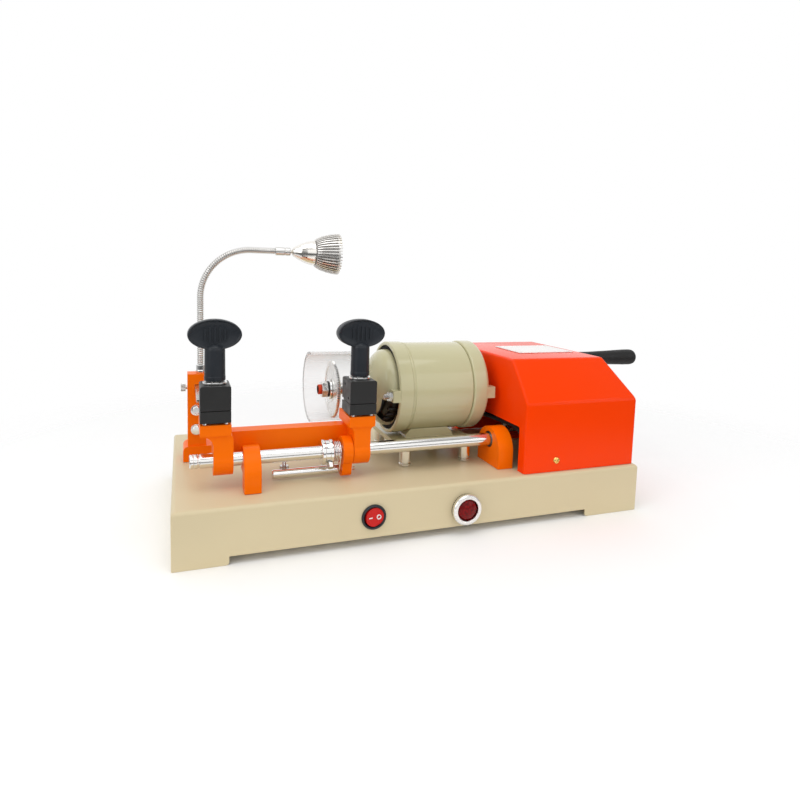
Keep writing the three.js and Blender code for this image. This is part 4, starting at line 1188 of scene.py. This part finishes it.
def make_cover_screw():
    screw = Extent("cover_screw")
    x, y, z = screw.cx, screw.y0, screw.cz
    head = turned("Y", [(0, 0), (1.6, 0.15), (3, 0.9), (3.6, 2), (0, 2)], x, z, 48, start=y)
    stem = rod("Y", 1.6, y + 1.5, screw.y1, x, z, 24)
    cross = [block(x - a, x + a, y - 1, y + 0.9, z - b, z + b) for a, b in ((1.9, 0.35), (0.35, 1.9))]
    for bar in cross:
        turn_about(bar, "Y", radians(28), (x, 0, z))
    piece("cover_screw_head", cut(join(head, stem), *cross), brass, "cover_screw")


def make_label():
    """A blank plate held by four rivets, with a raised edge."""
    plate = Extent("label_plate")
    top = plate.z1

    def inset(gap):
        return rectangle(plate.x0 + gap, plate.x1 - gap, plate.y0 + gap, plate.y1 - gap)

    shape = cut(prism("Z", softened(inset(0), 2), plate.z0, top - 0.1),
                prism("Z", softened(inset(2.2), 1.4), top - 0.3, top + 1))
    piece("blank_plate", shape, blank_metal, "label_plate")
    for i, (x, y) in enumerate(inset(4.5)):
        rivet = turned("Z", [(0, -0.4), (1.5, -0.4), (1.2, -0.1), (0, 0)], x, y, 24, start=top)
        extra("plate_rivet_%d" % (i + 1), rivet, steel, "label_plate")


def make_lever():
    refined("lever_pivot", steel, 0.5)
    refined("feed_lever", black_oxide, 0.6)
    grip = Extent("lever_grip")
    length = grip.x1 - grip.x0
    profile = [(0, 0), (7.2, 0), (8.2, 1), (8.4, 4), (8.4, 20), (9.2, 45), (10.4, 76), (10.4, length - 7),
               (9.6, length - 3), (7.2, length - 0.6), (0, length)]
    outside = turned("X", profile, grip.cy, grip.cz, 64, 1.6, grip.x0)
    bore = rod("X", 5.3, grip.x0 - 1, grip.x1 - 23, grip.cy, grip.cz)
    piece("grip_moulding", cut(outside, bore), black_rubber, "lever_grip")


# ---- studio


def make_floor():
    """A pale round floor that fades out into the white background."""
    bm = bmesh.new()
    bmesh.ops.create_circle(bm, cap_ends=True, segments=96, radius=2)
    made = Nodes("pale_floor")
    made.mixed(made.noise(3, 2.0), (0.95, 0.95, 0.95), (0.97, 0.97, 0.97))
    distance = made.add("ShaderNodeVectorMath", operation="LENGTH")
    made.link(made.place, distance.inputs[0])
    made.ranged(distance.outputs["Value"], 1.0, 0.0, 0.3, 0.72, "Alpha")
    made.put(Roughness=0.8)
    floor = add_object("floor", mesh_of("floor", bm))
    floor.data.materials.append(made.material)
    floor.location.z = -0.0002


LIGHT_AIM = Vector((0, 0, 0.1))


def add_light(name, place, size, power):
    """A rectangular light that points at the machine."""
    data = bpy.data.lights.new(name, "AREA")
    data.shape = "RECTANGLE"
    data.size, data.size_y = size
    data.energy = power
    light = add_object(name, data)
    light.location = place
    light.rotation_euler = (LIGHT_AIM - Vector(place)).to_track_quat("-Z", "Y").to_euler()


def make_lights():
    add_light("key_overhead", (-0.3, -0.5, 1.6), (1.6, 1.2), 10)
    add_light("left_soft", (-1.6, -0.8, 0.7), (1.0, 1.2), 7)
    add_light("right_soft", (1.5, -1.3, 0.8), (0.9, 1.2), 4)
    add_light("front_soft", (0.1, -2.2, 0.9), (3.4, 1.7), 16)


def make_world():
    """White to the camera. What it lights the machine with is brightest behind and dark in front."""
    world = bpy.data.worlds.new("studio")
    bpy.context.scene.world = world
    world.use_nodes = True
    made = Tree(world.node_tree)
    studio = made.tree.nodes["Background"]
    white = made.add("ShaderNodeBackground", {"Color": (1, 1, 1, 1)})
    place = made.add("ShaderNodeTexCoord")
    split = made.add("ShaderNodeSeparateXYZ")
    height = made.add("ShaderNodeMath", {1: 1.5}, operation="MULTIPLY_ADD")
    shift = made.add("ShaderNodeMapRange", {"From Min": -1.5, "From Max": 1.5})
    ramp = made.add("ShaderNodeValToRGB")
    for position, grey in ((0.0, 0.12), (0.33, 0.28), (0.5, 0.45), (0.78, 0.62), (0.95, 1.0)):
        stop = ramp.color_ramp.elements.new(position)
        stop.color = (grey, grey, grey, 1)
    ramp.color_ramp.elements.remove(ramp.color_ramp.elements[0])
    ramp.color_ramp.elements.remove(ramp.color_ramp.elements[-1])
    seen = made.add("ShaderNodeLightPath")
    mix = made.add("ShaderNodeMixShader")
    for start, output, end, socket in (
            (place, "Generated", split, "Vector"), (split, "Y", height, 0), (split, "Z", height, 2),
            (height, "Value", shift, "Value"), (shift, "Result", ramp, "Fac"),
            (ramp, "Color", studio, "Color"), (seen, "Is Camera Ray", mix, "Fac"),
            (studio, "Background", mix, 1), (white, "Background", mix, 2),
            (mix, "Shader", made.tree.nodes["World Output"], "Surface")):
        made.link(start.outputs[output], end.inputs[socket])


def make_camera():
    """The camera of the view: a wide lens close to the machine, a little to its left."""
    azimuth = radians(-20.27)
    elevation = radians(5.72)
    roll = radians(1.74)
    from_base = Vector((-225.84, -614.49, 251.02))
    data = bpy.data.cameras.new("camera")
    data.sensor_width = 36
    data.lens = 26.65
    data.shift_y = -0.0875
    camera = add_object("camera", data)
    place = (from_base + Vector((base.cx, base.cy, 0))) * MM
    level = Matrix.Rotation(azimuth, 4, "Z") @ Matrix.Rotation(pi / 2 - elevation, 4, "X")
    camera.matrix_world = Matrix.Translation(place) @ level @ Matrix.Rotation(roll, 4, "Z")
    bpy.context.scene.camera = camera


make_camera()
make_base()
make_inlet()
make_switch()
make_pilot()
make_front_bell()
make_motor_body()
make_rear_bell()
make_motor_fittings()
make_motor_cable()
make_cutter()
make_spindle()
make_guard()
make_tracer()
make_gooseneck()
make_lamp_head()
make_shaft()
make_collar()
make_spring()
make_spring_fittings()
make_supports()
make_carriage()
make_vise("left")
make_vise("right")
make_cover()
make_cover_screw()
make_label()
make_lever()
make_floor()
make_world()
make_lights()
bpy.context.scene.view_settings.view_transform = "Standard"
bpy.context.scene.view_settings.look = "None"
